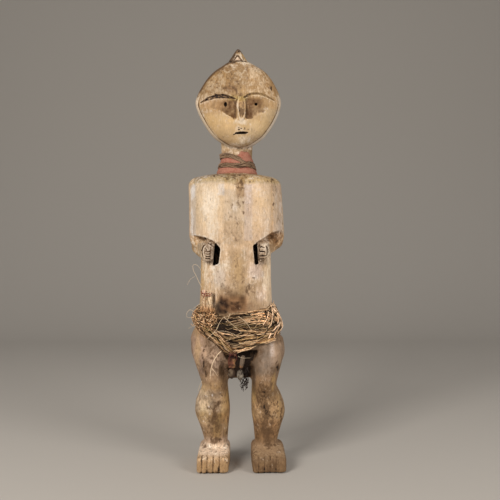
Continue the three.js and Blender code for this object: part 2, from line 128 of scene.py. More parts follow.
# Both feet: place from heel to toe, spread, half width, height
FOOT = [
    (-52, 49, 21, 24),
    (-45, 49, 26, 34),
    (-10, 50, 29, 46),
    (20, 51, 29.5, 40),
    (42, 52, 29.5, 32),
    (53, 52, 29, 28),
    (56, 52, 27, 24),
]
LEG_WIDTH = {-1: 1.0, 1: 0.96}  # viewer's left is -1, right is 1
FOOT_WIDTH = {-1: 1.0, 1: 1.06}
TOE_GROOVES = {-1: (-67.5, -57.5, -46.5, -35.5), 1: (37, 47.5, 58.5, 69)}
TOE_DEPTH = {-1: 2.2, 1: 1.2}
# Both upper arms: height, spread from the chest's middle, half width, front, back, squareness
ARM = [
    (415, 73.5, 11, 22, 28, 2.4),
    (424, 75.5, 13, 25, 31, 2.6),
    (440, 77, 14.5, 24, 30, 2.7),
    (500, 74, 14.5, 24, 30, 2.7),
    (534, 74.5, 14, 24, 30, 2.7),
    (545, 73, 11, 19, 25, 2.4),
]
ELBOW = {-1: ((-79, 24, 425), (14, 20)), 1: ((72, 24, 428), (13, 19))}  # place, half width and half height
FIST = {-1: ((-54.5, -63, 403), (11.5, 16.8)), 1: ((43, -63, 402.5), (9.8, 16.8))}
FOREARM_SWELL = [(-0.06, 0.7), (0.02, 1), (0.85, 1), (0.97, 0.97), (1, 0.84)]
# The deep cut between each fist and the belly: left and right side at its foot, the same at its head
SLOT = {-1: ((-46.6, -37), (-43.4, -32)), 1: ((30, 36.6), (26, 33.6))}
SLOT_HEIGHT = (383, 421)
# A place on the slot's slanting upper end, and its slope
SLOT_TOP = {-1: (-44, 422.7, -1.04), 1: (27.6, 417.2, 0.67)}
SLOT_BACK = -22.0
FIST_FOOT = {-1: (-54, 386, 0.0), 1: (37.7, 385.9, 0.71)}  # a place on the cut under each fist, and its slope
# What the knife cut into each hand, seen from in front: across, up and half width along each line
HAND_CUTS = [
    [(-61.5, 417.4, 0.5), (-65.1, 414.4, 1.0), (-66.9, 409.5, 1.1), (-67, 403, 1.1), (-65.3, 397.5, 0.6)],
    [(-54.6, 420.8, 0.7), (-50.8, 418.7, 1.1), (-46.4, 414.4, 0.7)],
    [(-60.8, 412, 0.4), (-58.5, 408.5, 0.9), (-59.8, 406, 0.5)],
    [(-59.6, 405.4, 0.5), (-55, 405.0, 0.7), (-52.2, 405.6, 0.5)],
    [(-59.6, 400.8, 0.5), (-55, 400.4, 0.6), (-52.2, 401, 0.5)],
    [(-59.4, 396.6, 0.5), (-55, 396.2, 0.6), (-52.4, 396.8, 0.5)],
    [(-60, 392.4, 0.5), (-56, 392, 0.7), (-52.8, 392.6, 0.5)],
    [(-51.6, 413, 0.3), (-51.4, 402, 0.4), (-52, 390, 0.3)],
    [(38.4, 405.2, 0.6), (43, 405.9, 0.8), (47.4, 405.2, 0.6)],
    [(37.6, 397.4, 0.6), (43, 398.1, 0.8), (48.4, 397.6, 0.6)],
    [(39.6, 391.6, 0.5), (43, 391.8, 0.6), (46, 392.6, 0.4)],
    [(39, 412.5, 0.5), (42, 414.5, 0.6), (46.5, 412.2, 0.5)],
    [(38.4, 419, 0.3), (38, 405, 0.4), (38, 390, 0.3)],
    [(50.8, 415.6, 0.4), (52.6, 411, 1.0), (53.1, 406, 1.2), (52.6, 400.8, 1.1), (51.2, 397.2, 0.5)],
]
HAND_RIDGES = [
    [(54.3, 414.2, 0.4), (56.2, 410, 1.2), (56.6, 406, 1.3), (55.4, 402.6, 0.5)],
    [(-63.6, 412, 0.5), (-64.4, 407, 1.1), (-64, 400, 1.1), (-62.6, 396, 0.5)],
    [(-56.5, 422.6, 0.4), (-50.5, 421.4, 0.8), (-45.4, 417.5, 0.6)],
]
# The crest over the head: place from front to back, top, half width at its top and at its foot
CREST = [
    (-29, 769, 11, 13),
    (-19, 784, 6.4, 17),
    (-8, 799, 2.4, 18),
    (2, 800, 2.4, 18),
    (25, 790, 2.4, 16),
    (43, 770, 2.4, 14),
    (56, 735, 2.4, 11),
]
CREST_X = -1.0
CREST_DROP = 24.0
# The triangle cut into its front
TRIANGLE = [(-11.5, 767.5, 1.1), (-2.1, 784, 1.1), (7.3, 767.5, 1.1), (-11.5, 767.5, 1.1)]
# The face, seen from in front: across, up and half width along each cut
LEFT_BROW = [
    (-71, 684.5, 1), (-58, 689, 3), (-42, 692.7, 4.1), (-28, 693.2, 4), (-16, 690.7, 2.4), (-6, 688.5, 0.8),
]
RIGHT_BROW = [
    (10, 690.5, 0.9), (17, 694.5, 2), (25, 697.6, 1.8), (35, 698.6, 1.7), (47, 696.6, 1.7),
    (66, 688.5, 0.9),
]
LEFT_LID = [(-71, 677), (-56, 683.5), (-31, 688.5), (-15, 689.5), (-3, 690)]  # the hollows' upper edges
RIGHT_LID = [(12, 687), (25, 690.5), (38, 691.5), (51, 689), (73, 681)]
LEFT_CHEEK = [(-71, 676), (-51, 670.5), (-31, 665), (-21, 658), (-10, 652.5), (-3, 650)]  # their lower edges
RIGHT_CHEEK = [(12, 650), (22, 652.5), (30, 655.5), (36, 660), (46, 663.5), (53, 669.5), (73, 677)]
# Each eye's hollow: its upper and lower edge, its end beside the nose and its outer end
LEFT_HOLLOW = (LEFT_LID, LEFT_CHEEK, -3.2, -73)
RIGHT_HOLLOW = (RIGHT_LID, RIGHT_CHEEK, 12.4, 75)
HOLLOW_DEPTH = 5.4
# The nose, a narrow bridge between two pale ridges that meet below: height, middle across, half width
NOSE = [
    (643, 5.2, 0.4), (648, 5, 3.2), (655, 5.6, 5.8), (662, 5.8, 7.6), (672, 5.8, 8.5), (680, 5.3, 7.4),
    (692, 4.6, 5.8),
]
EYES = [(-24.3, 678.1, 2.7, 4.1), (32.2, 678.9, 2.8, 2.6)]
MOUTH = (5.5, 626, 11.8, 2.2)
CELL = 3.0  # grid for the log's skin
BACK_FROM, BACK_KEEPS = 2.0, 0.62  # where the plain back begins, and the share of its faces that is kept


def along(table, place):
    """The columns of a table at any places along its first one, on cubic curves whose slope at each row is
    the harmonic mean of the slopes on its two sides, or 0 at a peak, so that they never overshoot."""
    rows = np.array(table, float)
    knots, values = rows[:, 0], rows[:, 1:]
    rise = np.diff(values, axis=0) / np.diff(knots)[:, None]
    before, after = rise[:-1], rise[1:]
    same = before * after > 0
    inner = np.where(same, 2 * before * after / np.where(same, before + after, 1), 0)
    slope = np.vstack([rise[:1], inner, rise[-1:]])
    at = np.clip(place, knots[0], knots[-1])
    k = np.clip(np.searchsorted(knots, at, side="right") - 1, 0, len(knots) - 2)
    step = (knots[k + 1] - knots[k])[..., None]
    t = (at - knots[k])[..., None] / step
    curve = values[k] * (1 + 2 * t) * (1 - t) ** 2 + values[k + 1] * t * t * (3 - 2 * t)
    curve = curve + slope[k] * step * t * (1 - t) ** 2 - slope[k + 1] * step * t * t * (1 - t)
    return np.moveaxis(curve, -1, 0)


def ease(low, high, value):
    """0 below low, 1 above high, and t * t * (3 - 2 t) between them. Low may be the larger of the two."""
    t = np.clip((value - low) / (high - low), 0, 1)
    return t * t * (3 - 2 * t)


def either(a, b, soft):
    """The lesser of two gaps, with a fillet of about soft mm where they meet."""
    h = np.clip(soft - np.abs(a - b), 0, None) / soft
    return np.minimum(a, b) - h * h * soft / 4


def both(a, b, soft):
    """The greater of two gaps, rounded by about soft mm where they meet."""
    return -either(-a, -b, soft)


def waves(x, y, z, size, seed):
    """Soft random waves from -1 to 1: random numbers on a lattice with cells of the given size, eased between
    the corners of each cell."""
    lattice = np.random.default_rng(seed).uniform(-1, 1, (24, 24, 24))
    total = 0
    cells = [np.floor(v / s).astype(int) for v, s in zip((x, y, z), size)]
    shares = [ease(0, 1, v / s - c) for v, s, c in zip((x, y, z), size, cells)]
    for corner in np.ndindex(2, 2, 2):
        weight = 1
        for share, up in zip(shares, corner):
            weight = weight * (share if up else 1 - share)
        i, j, k = [(c + up) % 24 for c, up in zip(cells, corner)]
        total = total + weight * lattice[i, j, k]
    return total


def section_gap(across, deep, half, reach, square):
    """Distance out from a rounded section, along the line from its middle: r * (1 - 1 / share), where share
    is (|across / half|^n + |deep / reach|^n)^(1/n)."""
    share = (np.abs(across / half) ** square + np.abs(deep / reach) ** square) ** (1 / square) + 1e-6
    return np.hypot(across, deep) * (1 - 1 / share)


def upright_gap(table, x, y, z, plane=0.0, soft=5.0):
    """Distance out from an upright form through its table, with its two ends rounded."""
    middle, half, front, back, square = along(table, z)
    side = section_gap(x - middle, y - plane, half, np.where(y < plane, front, back), square)
    return both(side, np.maximum(table[0][0] - z, z - table[-1][0]), soft)


def lump_gap(x, y, z, place, half):
    """Distance out from an egg-shaped lump, along the line from its middle."""
    dx, dy, dz = x - place[0], y - place[1], z - place[2]
    share = np.sqrt((dx / half[0]) ** 2 + (dy / half[1]) ** 2 + (dz / half[2]) ** 2) + 1e-6
    return np.sqrt(dx * dx + dy * dy + dz * dz) * (1 - 1 / share)


def chest_gap(x, y, z):
    """The block of the chest, whose lower edge climbs outward from the belly."""
    middle, half, front, back, square = along(CHEST, z)
    side = section_gap(x - middle, y, half, np.where(y < 0, front, back), square)
    low = np.where(x < -3, along(CHEST_EDGE[-1], np.abs(x + 3))[0], along(CHEST_EDGE[1], np.abs(x + 3))[0])
    side = side + 3 * ease(430, 402, z) * ease(44, 24, np.abs(x + 3))
    return both(both(side, 0.9 * (low - z), 2.5), z - CHEST[-1][0], 8)


def leg_gap(x, y, z, side):
    """One leg, swung out from the middle of the stance."""
    table = np.array(LEG, float)
    table[:, 1] = along(STANCE, table[:, 0])[0] + side * table[:, 1]
    table[:, 2] *= LEG_WIDTH[side]
    return upright_gap(table, x, y, z)


def foot_gap(x, y, z, side):
    """One foot, a long block with a flat sole: its section across is a rounded box, set along its length."""
    spread, half, height = along(FOOT, -y)
    middle = STANCE[0][1] + side * spread
    up = z - height / 2
    reach = np.where(up < 0, height / 2 + 4, height / 2)
    block = section_gap(x - middle, up, half * FOOT_WIDTH[side], reach, 4.8)
    block = both(block, np.maximum(y - 52, -56 - y), 7)
    return both(block, 0.22 * (-y - 44) - z, 3)  # the tips of the toes turn up a little


def forearm_gap(x, y, z, side):
    """One forearm from elbow to fist, a rounded bar that thins and drops as it comes forward, with a slanting
    cut under the fist."""
    (elbow, thick), (fist, slim) = ELBOW[side], FIST[side]
    way = np.subtract(fist, elbow)
    length = math.hypot(way[0], way[1])
    flat = way[:2] / length
    run = ((x - elbow[0]) * flat[0] + (y - elbow[1]) * flat[1]) / length
    share = np.clip(run, -0.06, 1)
    off = -(x - elbow[0]) * flat[1] + (y - elbow[1]) * flat[0]
    swell = along(FOREARM_SWELL, share)[0]
    half = (thick[0] + (slim[0] - thick[0]) * share) * swell
    tall = (thick[1] + (slim[1] - thick[1]) * share) * swell
    bar = section_gap(off, z - elbow[2] - way[2] * share, half, tall, 3.4)
    bar = both(bar, np.maximum(run - 1, -0.06 - run) * length, 8)
    place, height, slope = FIST_FOOT[side]
    under = (height + slope * (x - place) - z) / math.hypot(1, slope)
    return both(bar, np.maximum(under, -12 - 0.8 * (y + 63)), 2)


def crest_gap(x, y, z):
    """The crest, a ridge with sloping sides that is high in front and sinks over the back of the head."""
    top, high, half = along(CREST, y)
    below = top - z
    width = high + (half - high) * np.clip(below / CREST_DROP, 0, 1)
    side = (np.abs(x - CREST_X) - width) * 0.82
    front = np.maximum(y - 56, -31 - y) * 0.7
    return np.maximum(both(both(side, -below * 0.62, 2), front, 2), 705 - z)


def slot_gap(x, y, z, side):
    """The deep cut between a fist and the belly, a slanting box that is open in front."""
    low, high = SLOT[side]
    share = np.clip((z - SLOT_HEIGHT[0]) / (SLOT_HEIGHT[1] - SLOT_HEIGHT[0]), 0, 1)
    left = low[0] + (high[0] - low[0]) * share
    right = low[1] + (high[1] - low[1]) * share
    sides = np.maximum(left - x, x - right)
    ends = np.maximum(SLOT_HEIGHT[0] - z - 0.25 * np.abs(x - right), z - SLOT_HEIGHT[1])
    place, height, slope = SLOT_TOP[side]
    ends = np.maximum(ends, (z - height - slope * (x - place)) / math.hypot(1, slope))
    return both(both(sides, ends, 3), y - SLOT_BACK, 3)


def between_thighs(x, y, z):
    """The hollow between the thighs, a wedge that widens upward behind the skirt's point."""
    half = 19.5 + 0.25 * (z - 172)
    off = np.abs(x - 2.5 - 0.03 * (z - 172))
    deep = y + 33 + 14 * (off / half) ** 2
    return both(both(off - half, deep, 6), z - 224, 4)


def stroke(x, z, line):
    """Distance out from a drawn line of changing half width, over its straight stretches."""
    nearest = np.full(np.broadcast(x, z).shape, 99.0)
    for (ax, az, aw), (bx, bz, bw) in zip(line[:-1], line[1:]):
        t = ((x - ax) * (bx - ax) + (z - az) * (bz - az)) / ((bx - ax) ** 2 + (bz - az) ** 2)
        t = np.clip(t, 0, 1)
        away = np.hypot(x - ax - t * (bx - ax), z - az - t * (bz - az))
        nearest = np.minimum(nearest, away - aw - t * (bw - aw))
    return nearest


def hollow(x, z, lid, cheek, inner, outer):
    """How deep an eye's hollow is, from 0 to 1: a steep rise from the cheek's edge, a long slope up to the
    lid, and a fade from the nose side to the outer end."""
    top, foot = along(lid, x)[0], along(cheek, x)[0]
    rise = (z - foot) / np.maximum(top - foot, 1)
    profile = ease(-0.08, 0.2, rise) * (1 - 0.62 * np.clip(rise, 0, 1)) * ease(1.12, 0.88, rise)
    share = np.clip((x - inner) / (outer - inner), -1, 1)
    fade = ease(0.9, 0.1, share) * ease(-0.03, 0.06, share)
    return profile * fade


def face_depth(x, z):
    """How many mm the knife took off the face at a place across and up it, less what stands proud of it."""
    depth = HOLLOW_DEPTH * hollow(x, z, *LEFT_HOLLOW)
    depth = depth + HOLLOW_DEPTH * hollow(x, z, *RIGHT_HOLLOW)
    depth = depth + 2.8 * ease(0.4, -2.2, stroke(x, z, LEFT_BROW))
    depth = depth + 1.7 * ease(0.7, -1.0, stroke(x, z, RIGHT_BROW))
    middle, half = along(NOSE, z)
    off = np.abs(x - middle)
    bridge = ease(half + 1.8, half - 1.2, off) * ease(642, 651, z) * ease(697, 688, z)
    channel = ease(half - 1.6, half - 4.4, off) * ease(649, 656, z) * ease(690, 682, z)
    depth = depth - 2.2 * bridge + 1.1 * channel
    for ex, ez, hx, hz in EYES:
        depth = depth + 6.5 * ease(1.12, 0.62, np.hypot((x - ex) / hx, (z - ez) / hz))
    mx, mz, hx, hz = MOUTH
    tilt = z - mz - 0.06 * (x - mx)
    depth = depth + 6.0 * ease(1.15, 0.6, np.hypot((x - mx) / hx, tilt / hz))
    return depth


def rim_distance(x, y, z):
    """Distance in mm in from the outline of the head as it is seen from in front, where what lies nearer than
    the outline's own plane looks larger by 1183 / (1201 + y)."""
    larger = 1183 / (1201 + y)
    x, z = x * larger, 372.4 + (z - 372.4) * larger
    middle, half = along(HEAD, z)[:2]
    slope = along(HEAD, z + 0.5)[1] - along(HEAD, z - 0.5)[1]
    return (half - np.abs(x - middle)) / np.sqrt(1 + slope * slope)


def near(z, low, high):
    """Whether any of these heights comes close to a span."""
    return z.max() > low - 14 and z.min() < high + 14


def log_gap(x, y, z, fine=True):
    """Distance in mm out from the carved surface, below 0 in the wood: every form of the log joined with soft
    fillets, then cut by slots and grooves, then roughened by the tool."""
    gap = np.full(np.broadcast(x, y, z).shape, 60.0)
    if near(z, 167, 548):
        gap = either(gap, upright_gap(TRUNK, x, y, z), 3)
    if near(z, 404, 553):
        gap = either(gap, chest_gap(x, y, z), 3)
    if near(z, 540, 640):
        gap = either(gap, upright_gap(NECK, x, y, z), 4)
    for side in (-1, 1):
        if near(z, 194, 262):
            gap = either(gap, lump_gap(x, y, z, (side * 36, 40, 228), (37, 26, 34)), 6)
        if near(z, 26, 244):
            gap = either(gap, leg_gap(x, y, z, side), 8)
        if near(z, 0, 46):
            gap = either(gap, foot_gap(x, y, z, side), 4)
        if near(z, 415, 545):
            table = np.array(ARM, float)
            table[:, 1] = along(CHEST, table[:, 0])[0] + side * table[:, 1]
            gap = either(gap, upright_gap(table, x, y, z), 2.5 + 11.5 * ease(447, 480, z))
        if near(z, 380, 448):
            gap = either(gap, forearm_gap(x, y, z, side), 3)
    if near(z, 604, 800):
        head = upright_gap(HEAD, x, y, z, FACE_PLANE, 3)
        head = either(head, crest_gap(x, y, z), 2)
        gap = either(gap, head, 4)
    if near(z, 604, 715):
        front = ease(FACE_PLANE - 6, FACE_PLANE - 16, y)
        gap = gap + front * face_depth(x, z)
    if near(z, 380, 424):
        for side in (-1, 1):
            gap = both(gap, -slot_gap(x, y, z, side), 1.5)
    if near(z, 160, 228):
        gap = both(gap, -between_thighs(x, y, z), 5)
    if near(z, 0, 40):
        for side in (-1, 1):
            for toe in TOE_GROOVES[side]:
                lane = ease(2.6, 0, np.abs(x - toe - 0.03 * (z - 14)))
                gap = gap + TOE_DEPTH[side] * lane * ease(-36, -46, y)
        gap = both(gap, -z, 0.6)
    if fine:
        gap = gap + tool_marks(x, y, z)
    return gap


def tool_marks(x, y, z):
    """The small unevenness of knife and adze in mm: long shallow facets, the fingers, the groove inside the rim
    of the face, the crest's triangle, and the channel, strip, creases and groove down the chest and belly."""
    marks = 0.55 * waves(x, y, z, (19, 21, 64), 3) + 0.28 * waves(x, y, z, (7, 8, 26), 4)
    if near(z, 604, 770):
        front = ease(FACE_PLANE - 4, FACE_PLANE - 14, y)
        marks = marks * (1 - 0.55 * front * (z > 600))
        groove = ease(1.8, 0.3, np.abs(rim_distance(x, y, z) - 5.0)) * ease(704, 676, z) * ease(600, 606, z)
        marks = marks + 0.9 * front * groove
    if near(z, 764, 799):
        inset = stroke(x, z, TRIANGLE)
        inner = (z > 767.5) & (z < 784) & (np.abs(x - TRIANGLE[1][0]) < (784 - z) * 0.57)
        marks = marks + ease(-4, -9, y) * (1.3 * ease(0.8, -0.6, inset) + 0.6 * inner)
    if near(z, 382, 424):
        hand = ease(-34, -46, y)
        for line in HAND_CUTS:
            marks = marks + 2.6 * hand * ease(1.1, -0.7, stroke(x, z, line))
        for line in HAND_RIDGES:
            marks = marks - 1.3 * hand * ease(1.4, -0.8, stroke(x, z, line))
        flat = ease(-51.5, -49.5, x) * ease(-42, -44, x) + ease(40, 38, x) * ease(31, 33, x)
        marks = marks + 0.8 * hand * flat
    if near(z, 300, 545):
        front = ease(-30, -48, y)
        wander = x + 1.2 * waves(x, y, z, (40, 40, 34), 19)
        channel = ease(-29.5, -26.5, wander) * ease(12, 9, wander) * ease(414, 432, z) * ease(528, 505, z)
        marks = marks + 1.1 * front * channel * (1 + 0.35 * ease(-10, 8, wander))
        strip = ease(9, 12, wander) * ease(27, 23, wander) * ease(428, 440, z)
        marks = marks + 0.55 * front * strip
        for crease, deep in ((62, 0.8), (-77, 0.5), (-37, 0.3)):
            marks = marks + deep * front * ease(2.6, 0, np.abs(wander - crease)) * ease(425, 450, z)
        marks = marks + 0.5 * front * ease(9, 0, np.abs(x + 2)) * ease(330, 380, z) * ease(425, 410, z)
    return marks


def log_skin():
    """Points and quads of the log: one point in each grid cell that the surface crosses, at the mean of the
    crossings on the cell's edges, and a quad round each grid edge that it crosses."""
    axes = [np.arange(low, high, CELL) for low, high in ((-101, 102), (-86, 86), (-3.9, 806))]
    x, y = axes[0][:, None, None], axes[1][None, :, None]
    slabs = [log_gap(x, y, part[None, None, :], fine=False) for part in np.array_split(axes[2], 16)]
    gap = np.concatenate(slabs, axis=2)
    inside = gap < 0
    count = 0
    for i, j, k in np.ndindex(2, 2, 2):
        part = inside[i:inside.shape[0] - 1 + i, j:inside.shape[1] - 1 + j, k:inside.shape[2] - 1 + k]
        count = count + part.astype(np.int8)
    crossed = (count > 0) & (count < 8)
    cell = np.argwhere(crossed)
    number = np.full(crossed.shape, -1)
    number[crossed] = np.arange(len(cell))
    total, hits = np.zeros((len(cell), 3)), np.zeros(len(cell))
    for axis in range(3):
        for i, j in np.ndindex(2, 2):
            start = np.zeros(3, int)
            start[[a for a in range(3) if a != axis]] = (i, j)
            step = np.eye(3, dtype=int)[axis]
            first, last = cell + start, cell + start + step
            a, b = gap[tuple(first.T)], gap[tuple(last.T)]
            cross = (a < 0) != (b < 0)
            share = np.where(cross, a / np.where(cross, a - b, 1), 0)
            total += cross[:, None] * (start + share[:, None] * step)
            hits += cross
    points = np.array([a[0] for a in axes]) + CELL * (cell + total / hits[:, None])
    quads = []
    for axis in range(3):
        step = np.eye(3, dtype=int)[axis]
        one, two = np.eye(3, dtype=int)[(axis + 1) % 3], np.eye(3, dtype=int)[(axis + 2) % 3]
        near_side = inside[tuple(slice(0, n - s) for n, s in zip(inside.shape, step))]
        far_side = inside[tuple(slice(s, None) for s in step)]
        edge = np.argwhere(near_side != far_side)
        edge = edge[(edge[:, (axis + 1) % 3] > 0) & (edge[:, (axis + 2) % 3] > 0)]
        leaving = near_side[tuple(edge.T)]
        ring = [number[tuple((edge - a * one - b * two).T)] for a, b in ((0, 0), (1, 0), (1, 1), (0, 1))]
        ring = np.stack(ring, axis=1)
        quads.append(np.where(leaving[:, None], ring, ring[:, ::-1]))
    return points, np.concatenate(quads)


def settled(points, rounds, step_limit):
    """Points moved onto the surface: each takes the gap times the gap's own direction off, a few times
    over."""
    moved = points.copy()
    order = np.argsort(points[:, 2])
    for part in np.array_split(order, 40):
        p = moved[part]
        for _ in range(rounds):
            here = log_gap(*p.T)
            slope = np.stack([(log_gap(*(p + d).T) - here) / 0.3 for d in np.eye(3) * 0.3], axis=1)
            step = slope * (here / np.maximum((slope**2).sum(1), 0.05))[:, None]
            length = np.linalg.norm(step, axis=1)
            p = p - step * np.minimum(1, step_limit / np.maximum(length, 1e-9))[:, None]
        moved[part] = p
    return moved


def new_piece(name, points, faces):
    """A mesh object at the origin from points in millimetres about the carver's centre line."""
    mesh = bpy.data.meshes.new(name)
    rings = [list(dict.fromkeys(face)) for face in faces.tolist()]
    mesh.from_pydata(((points + CENTRE_LINE) / 1000).tolist(), [], rings)
    mesh.update()
    mesh.shade_smooth()
    piece = bpy.data.objects.new(name, mesh)
    bpy.context.scene.collection.objects.link(piece)
    return piece


def finer(points, quads, chosen):
    """The same skin with the chosen faces cut into four."""
    mesh = bmesh.new()
    verts = [mesh.verts.new(p) for p in points.tolist()]
    faces = [mesh.faces.new([verts[i] for i in dict.fromkeys(quad)]) for quad in quads.tolist()]
    edges = {edge for face, take in zip(faces, chosen) if take for edge in face.edges}
    bmesh.ops.subdivide_edges(mesh, edges=list(edges), cuts=1, use_grid_fill=True)
    bmesh.ops.triangulate(mesh, faces=[f for f in mesh.faces if len(f.verts) > 4])
    mesh.verts.index_update()
    points = np.array([v.co[:] for v in mesh.verts])
    rings = [[v.index for v in face.verts] for face in mesh.faces]
    mesh.free()
    return points, np.array([ring + ring[-1:] * (4 - len(ring)) for ring in rings])


def thinned(points, quads, chosen, share):
    """The same skin with this share of its faces, by edges drawn together between the chosen points alone."""
    mesh = bpy.data.meshes.new("thinned")
    mesh.from_pydata(points.tolist(), [], [list(dict.fromkeys(quad)) for quad in quads.tolist()])
    piece = bpy.data.objects.new("thinned", mesh)
    bpy.context.scene.collection.objects.link(piece)
    piece.vertex_groups.new(name="chosen").add(np.flatnonzero(chosen).tolist(), 1.0, "REPLACE")
    change = piece.modifiers.new("thinned", "DECIMATE")
    change.ratio = share
    change.vertex_group = "chosen"
    result = bpy.data.meshes.new_from_object(piece.evaluated_get(bpy.context.evaluated_depsgraph_get()))
    points = np.array([v.co[:] for v in result.vertices])
    rings = [list(face.vertices) for face in result.polygons]
    bpy.data.objects.remove(piece)
    bpy.data.meshes.remove(mesh)
    bpy.data.meshes.remove(result)
    return points, np.array([ring + ring[-1:] * (4 - len(ring)) for ring in rings])


points, quads = log_skin()
points = settled(points, 2, 1.5)
points, quads = thinned(points, quads, points[:, 1] > BACK_FROM, BACK_KEEPS)
for level in range(2):
    centre = points[quads].mean(axis=1)
    x, y, z = centre.T
    upper = (z > 648) & (z < 704) & (np.abs(x) < 74)
    mouth = (z > 610) & (z < 628) & (np.abs(x - 4) < 26)
    face = (y < FACE_PLANE - 8) & (z > 604) & ((level == 0) | upper | mouth)
    hands = (y < -22 - 16 * level) & (z > 378) & (z < 444 - 24 * level) & (np.abs(x) > 22)
    toes = (level == 0) & (y < -34) & (z < 40)
    crest = (level == 0) & (z > 764) & (y < 10)
    points, quads = finer(points, quads, face | hands | toes | crest)
points = settled(points, 3, 0.8)


# What has happened to the wood since: white earth rubbed over it, ochre where that wore off, brown smoke and
# handling over the legs, dark residue in the brows, the hollows and round the navel. Linear colours.
EARTH = np.array([0.80, 0.68, 0.55])
OCHRE = np.array([0.66, 0.43, 0.185])
BROWN_SOIL = np.array([0.118, 0.066, 0.034])
# What lies in the checks, the crazing and the pits, and as soot and flecks of earth over the rest
CHECK_BROWN, CRAZE_BROWN = (0.16, 0.09, 0.045), (0.20, 0.115, 0.06)
PIT_BROWN, SOOT, EARTH_FLECK = (0.075, 0.04, 0.022), (0.022, 0.013, 0.009), (0.86, 0.76, 0.63)
# What each place of the figure has taken on
COOL_EARTH = np.array([0.50, 0.375, 0.29])
LEFT_FOOT_TOP, LEFT_TOES = np.array([0.60, 0.43, 0.31]), np.array([0.46, 0.285, 0.155])
RIGHT_FOOT_TOP, RIGHT_TOES = np.array([0.265, 0.165, 0.095]), np.array([0.185, 0.11, 0.06])
FIST_BROWN = np.array([0.30, 0.22, 0.155])
UNDER_LEFT_ARM, UNDER_RIGHT_ARM = np.array([0.46, 0.29, 0.15]), np.array([0.27, 0.172, 0.10])
# painted shade for the hollow between the thighs
CROTCH_SHADE = np.array([0.05, 0.03, 0.02])
SOOT_BLACK = np.array([0.016, 0.009, 0.006])
HOLLOW_RESIDUE = np.array([0.114, 0.050, 0.017])
RIGHT_BROW_TONE = np.array([0.33, 0.235, 0.125])
CREST_INSET = np.array([0.62, 0.44, 0.31])
GREY_HANDLING = np.array([0.27, 0.185, 0.122])
# Colour of the surface by height
WOOD_TONES = [
    (0, 0.23, 0.14, 0.072), (30, 0.31, 0.195, 0.105), (60, 0.26, 0.16, 0.082), (110, 0.33, 0.21, 0.112),
    (150, 0.28, 0.175, 0.092), (190, 0.275, 0.178, 0.110), (240, 0.33, 0.215, 0.135),
    (300, 0.42, 0.285, 0.175), (345, 0.50, 0.35, 0.22), (400, 0.54, 0.38, 0.24), (440, 0.62, 0.45, 0.295),
    (500, 0.66, 0.49, 0.32), (530, 0.63, 0.465, 0.305), (538, 0.52, 0.375, 0.20), (556, 0.36, 0.235, 0.13),
    (598, 0.36, 0.235, 0.13), (606, 0.48, 0.33, 0.185), (650, 0.58, 0.39, 0.20), (680, 0.50, 0.335, 0.18),
    (700, 0.42, 0.28, 0.15), (735, 0.40, 0.265, 0.142), (765, 0.32, 0.205, 0.105),
    (800, 0.32, 0.205, 0.095),
]
# Where white earth has stayed on, and a painted highlight on the right thigh: across, up, half width, half
# height, strength
WHITE_EARTH_AND_HIGHLIGHT = [
    # head
    (-36, 704, 11, 5.5, 0.34), (-53, 715, 7.3, 11, 0.3), (16, 765, 13.2, 7.5, 0.5), (32, 741, 11, 11, 0.36),
    (45, 719, 9.2, 14.7, 0.3), (56, 702, 7.3, 9.2, 0.36), (-62, 693, 7.3, 5.5, 0.32),
    (-10, 754, 7.3, 4.4, 0.42), (3, 737, 11, 11, 0.25), (-19, 700, 9.2, 2.9, 0.3), (12, 614, 11, 7.3, 0.4),
    (-8, 607, 11, 3.7, 0.35), (-56, 665, 14.7, 4, 0.4), (54, 673, 9.2, 3.7, 0.3), (23, 699, 11, 2.8, 0.3),
    (-30, 728, 5.5, 14.7, 0.2), (3, 632, 11, 5.5, 0.3), (4, 646, 12, 6.5, 0.6),
    # shoulders and chest
    (-85, 518, 4.9, 15.1, 0.9), (-88, 459, 3, 30.3, 0.5), (16, 505, 5.5, 25.6, 0.25),
    (-54, 496, 16.5, 33, 0.35), (-47, 449, 14.6, 18.3, 0.2), (43, 515, 14.6, 14.6, 0.15),
    (43, 474, 12.8, 25.6, 0.25), (50, 452, 7.3, 22, 0.3), (80, 485, 1.9, 45.4, 0.7),
    (71, 508, 1.5, 18.9, 0.55), (76, 451, 1.5, 15.1, 0.5), (-5, 487, 5.5, 11, 0.3),
    (-19, 436, 11, 14.6, 0.15),
    # belly and arms
    (-50, 375, 3.7, 4.8, 0.9), (-36, 361, 11, 16.5, 0.3), (30, 368, 11, 14.6, 0.3),
    (48, 350, 5.5, 22, 0.45), (43, 322, 9.2, 9.2, 0.35), (14, 399, 9.2, 14.6, 0.25),
    (-19, 386, 7.3, 14.6, 0.25), (-62, 368, 3.7, 14.6, 0.4), (55, 363, 2.2, 33, 0.5),
    # thighs; the first spot is a painted highlight where the light catches the right thigh
    (61, 225, 4, 12.9, 0.35), (-77, 225, 2.9, 25.7, 0.4), (-32, 226, 5.5, 5.5, 0.3),
    # calves
    (-70, 126, 7.5, 18.6, 0.55), (-48, 135, 9.3, 7.5, 0.4), (-55, 85, 5.6, 16.8, 0.5),
    (-31, 111, 5.6, 11.2, 0.4), (-27, 85, 3.7, 18.6, 0.3), (74, 144, 4.8, 12.9, 0.5),
    (68, 116, 4.8, 13.1, 0.5), (46, 129, 3.7, 9.3, 0.4), (59, 126, 3.7, 7.5, 0.4), (76, 71, 3.8, 18.8, 0.3),
    # feet
    (-49, 39, 25.9, 7.4, 0.4), (-67, 41, 5.6, 3.8, 0.2), (68, 48, 7.5, 1.9, 0.7), (44, 44, 9.4, 1.5, 0.4),
    (-24, 37, 3.8, 7.5, 0.5),
]
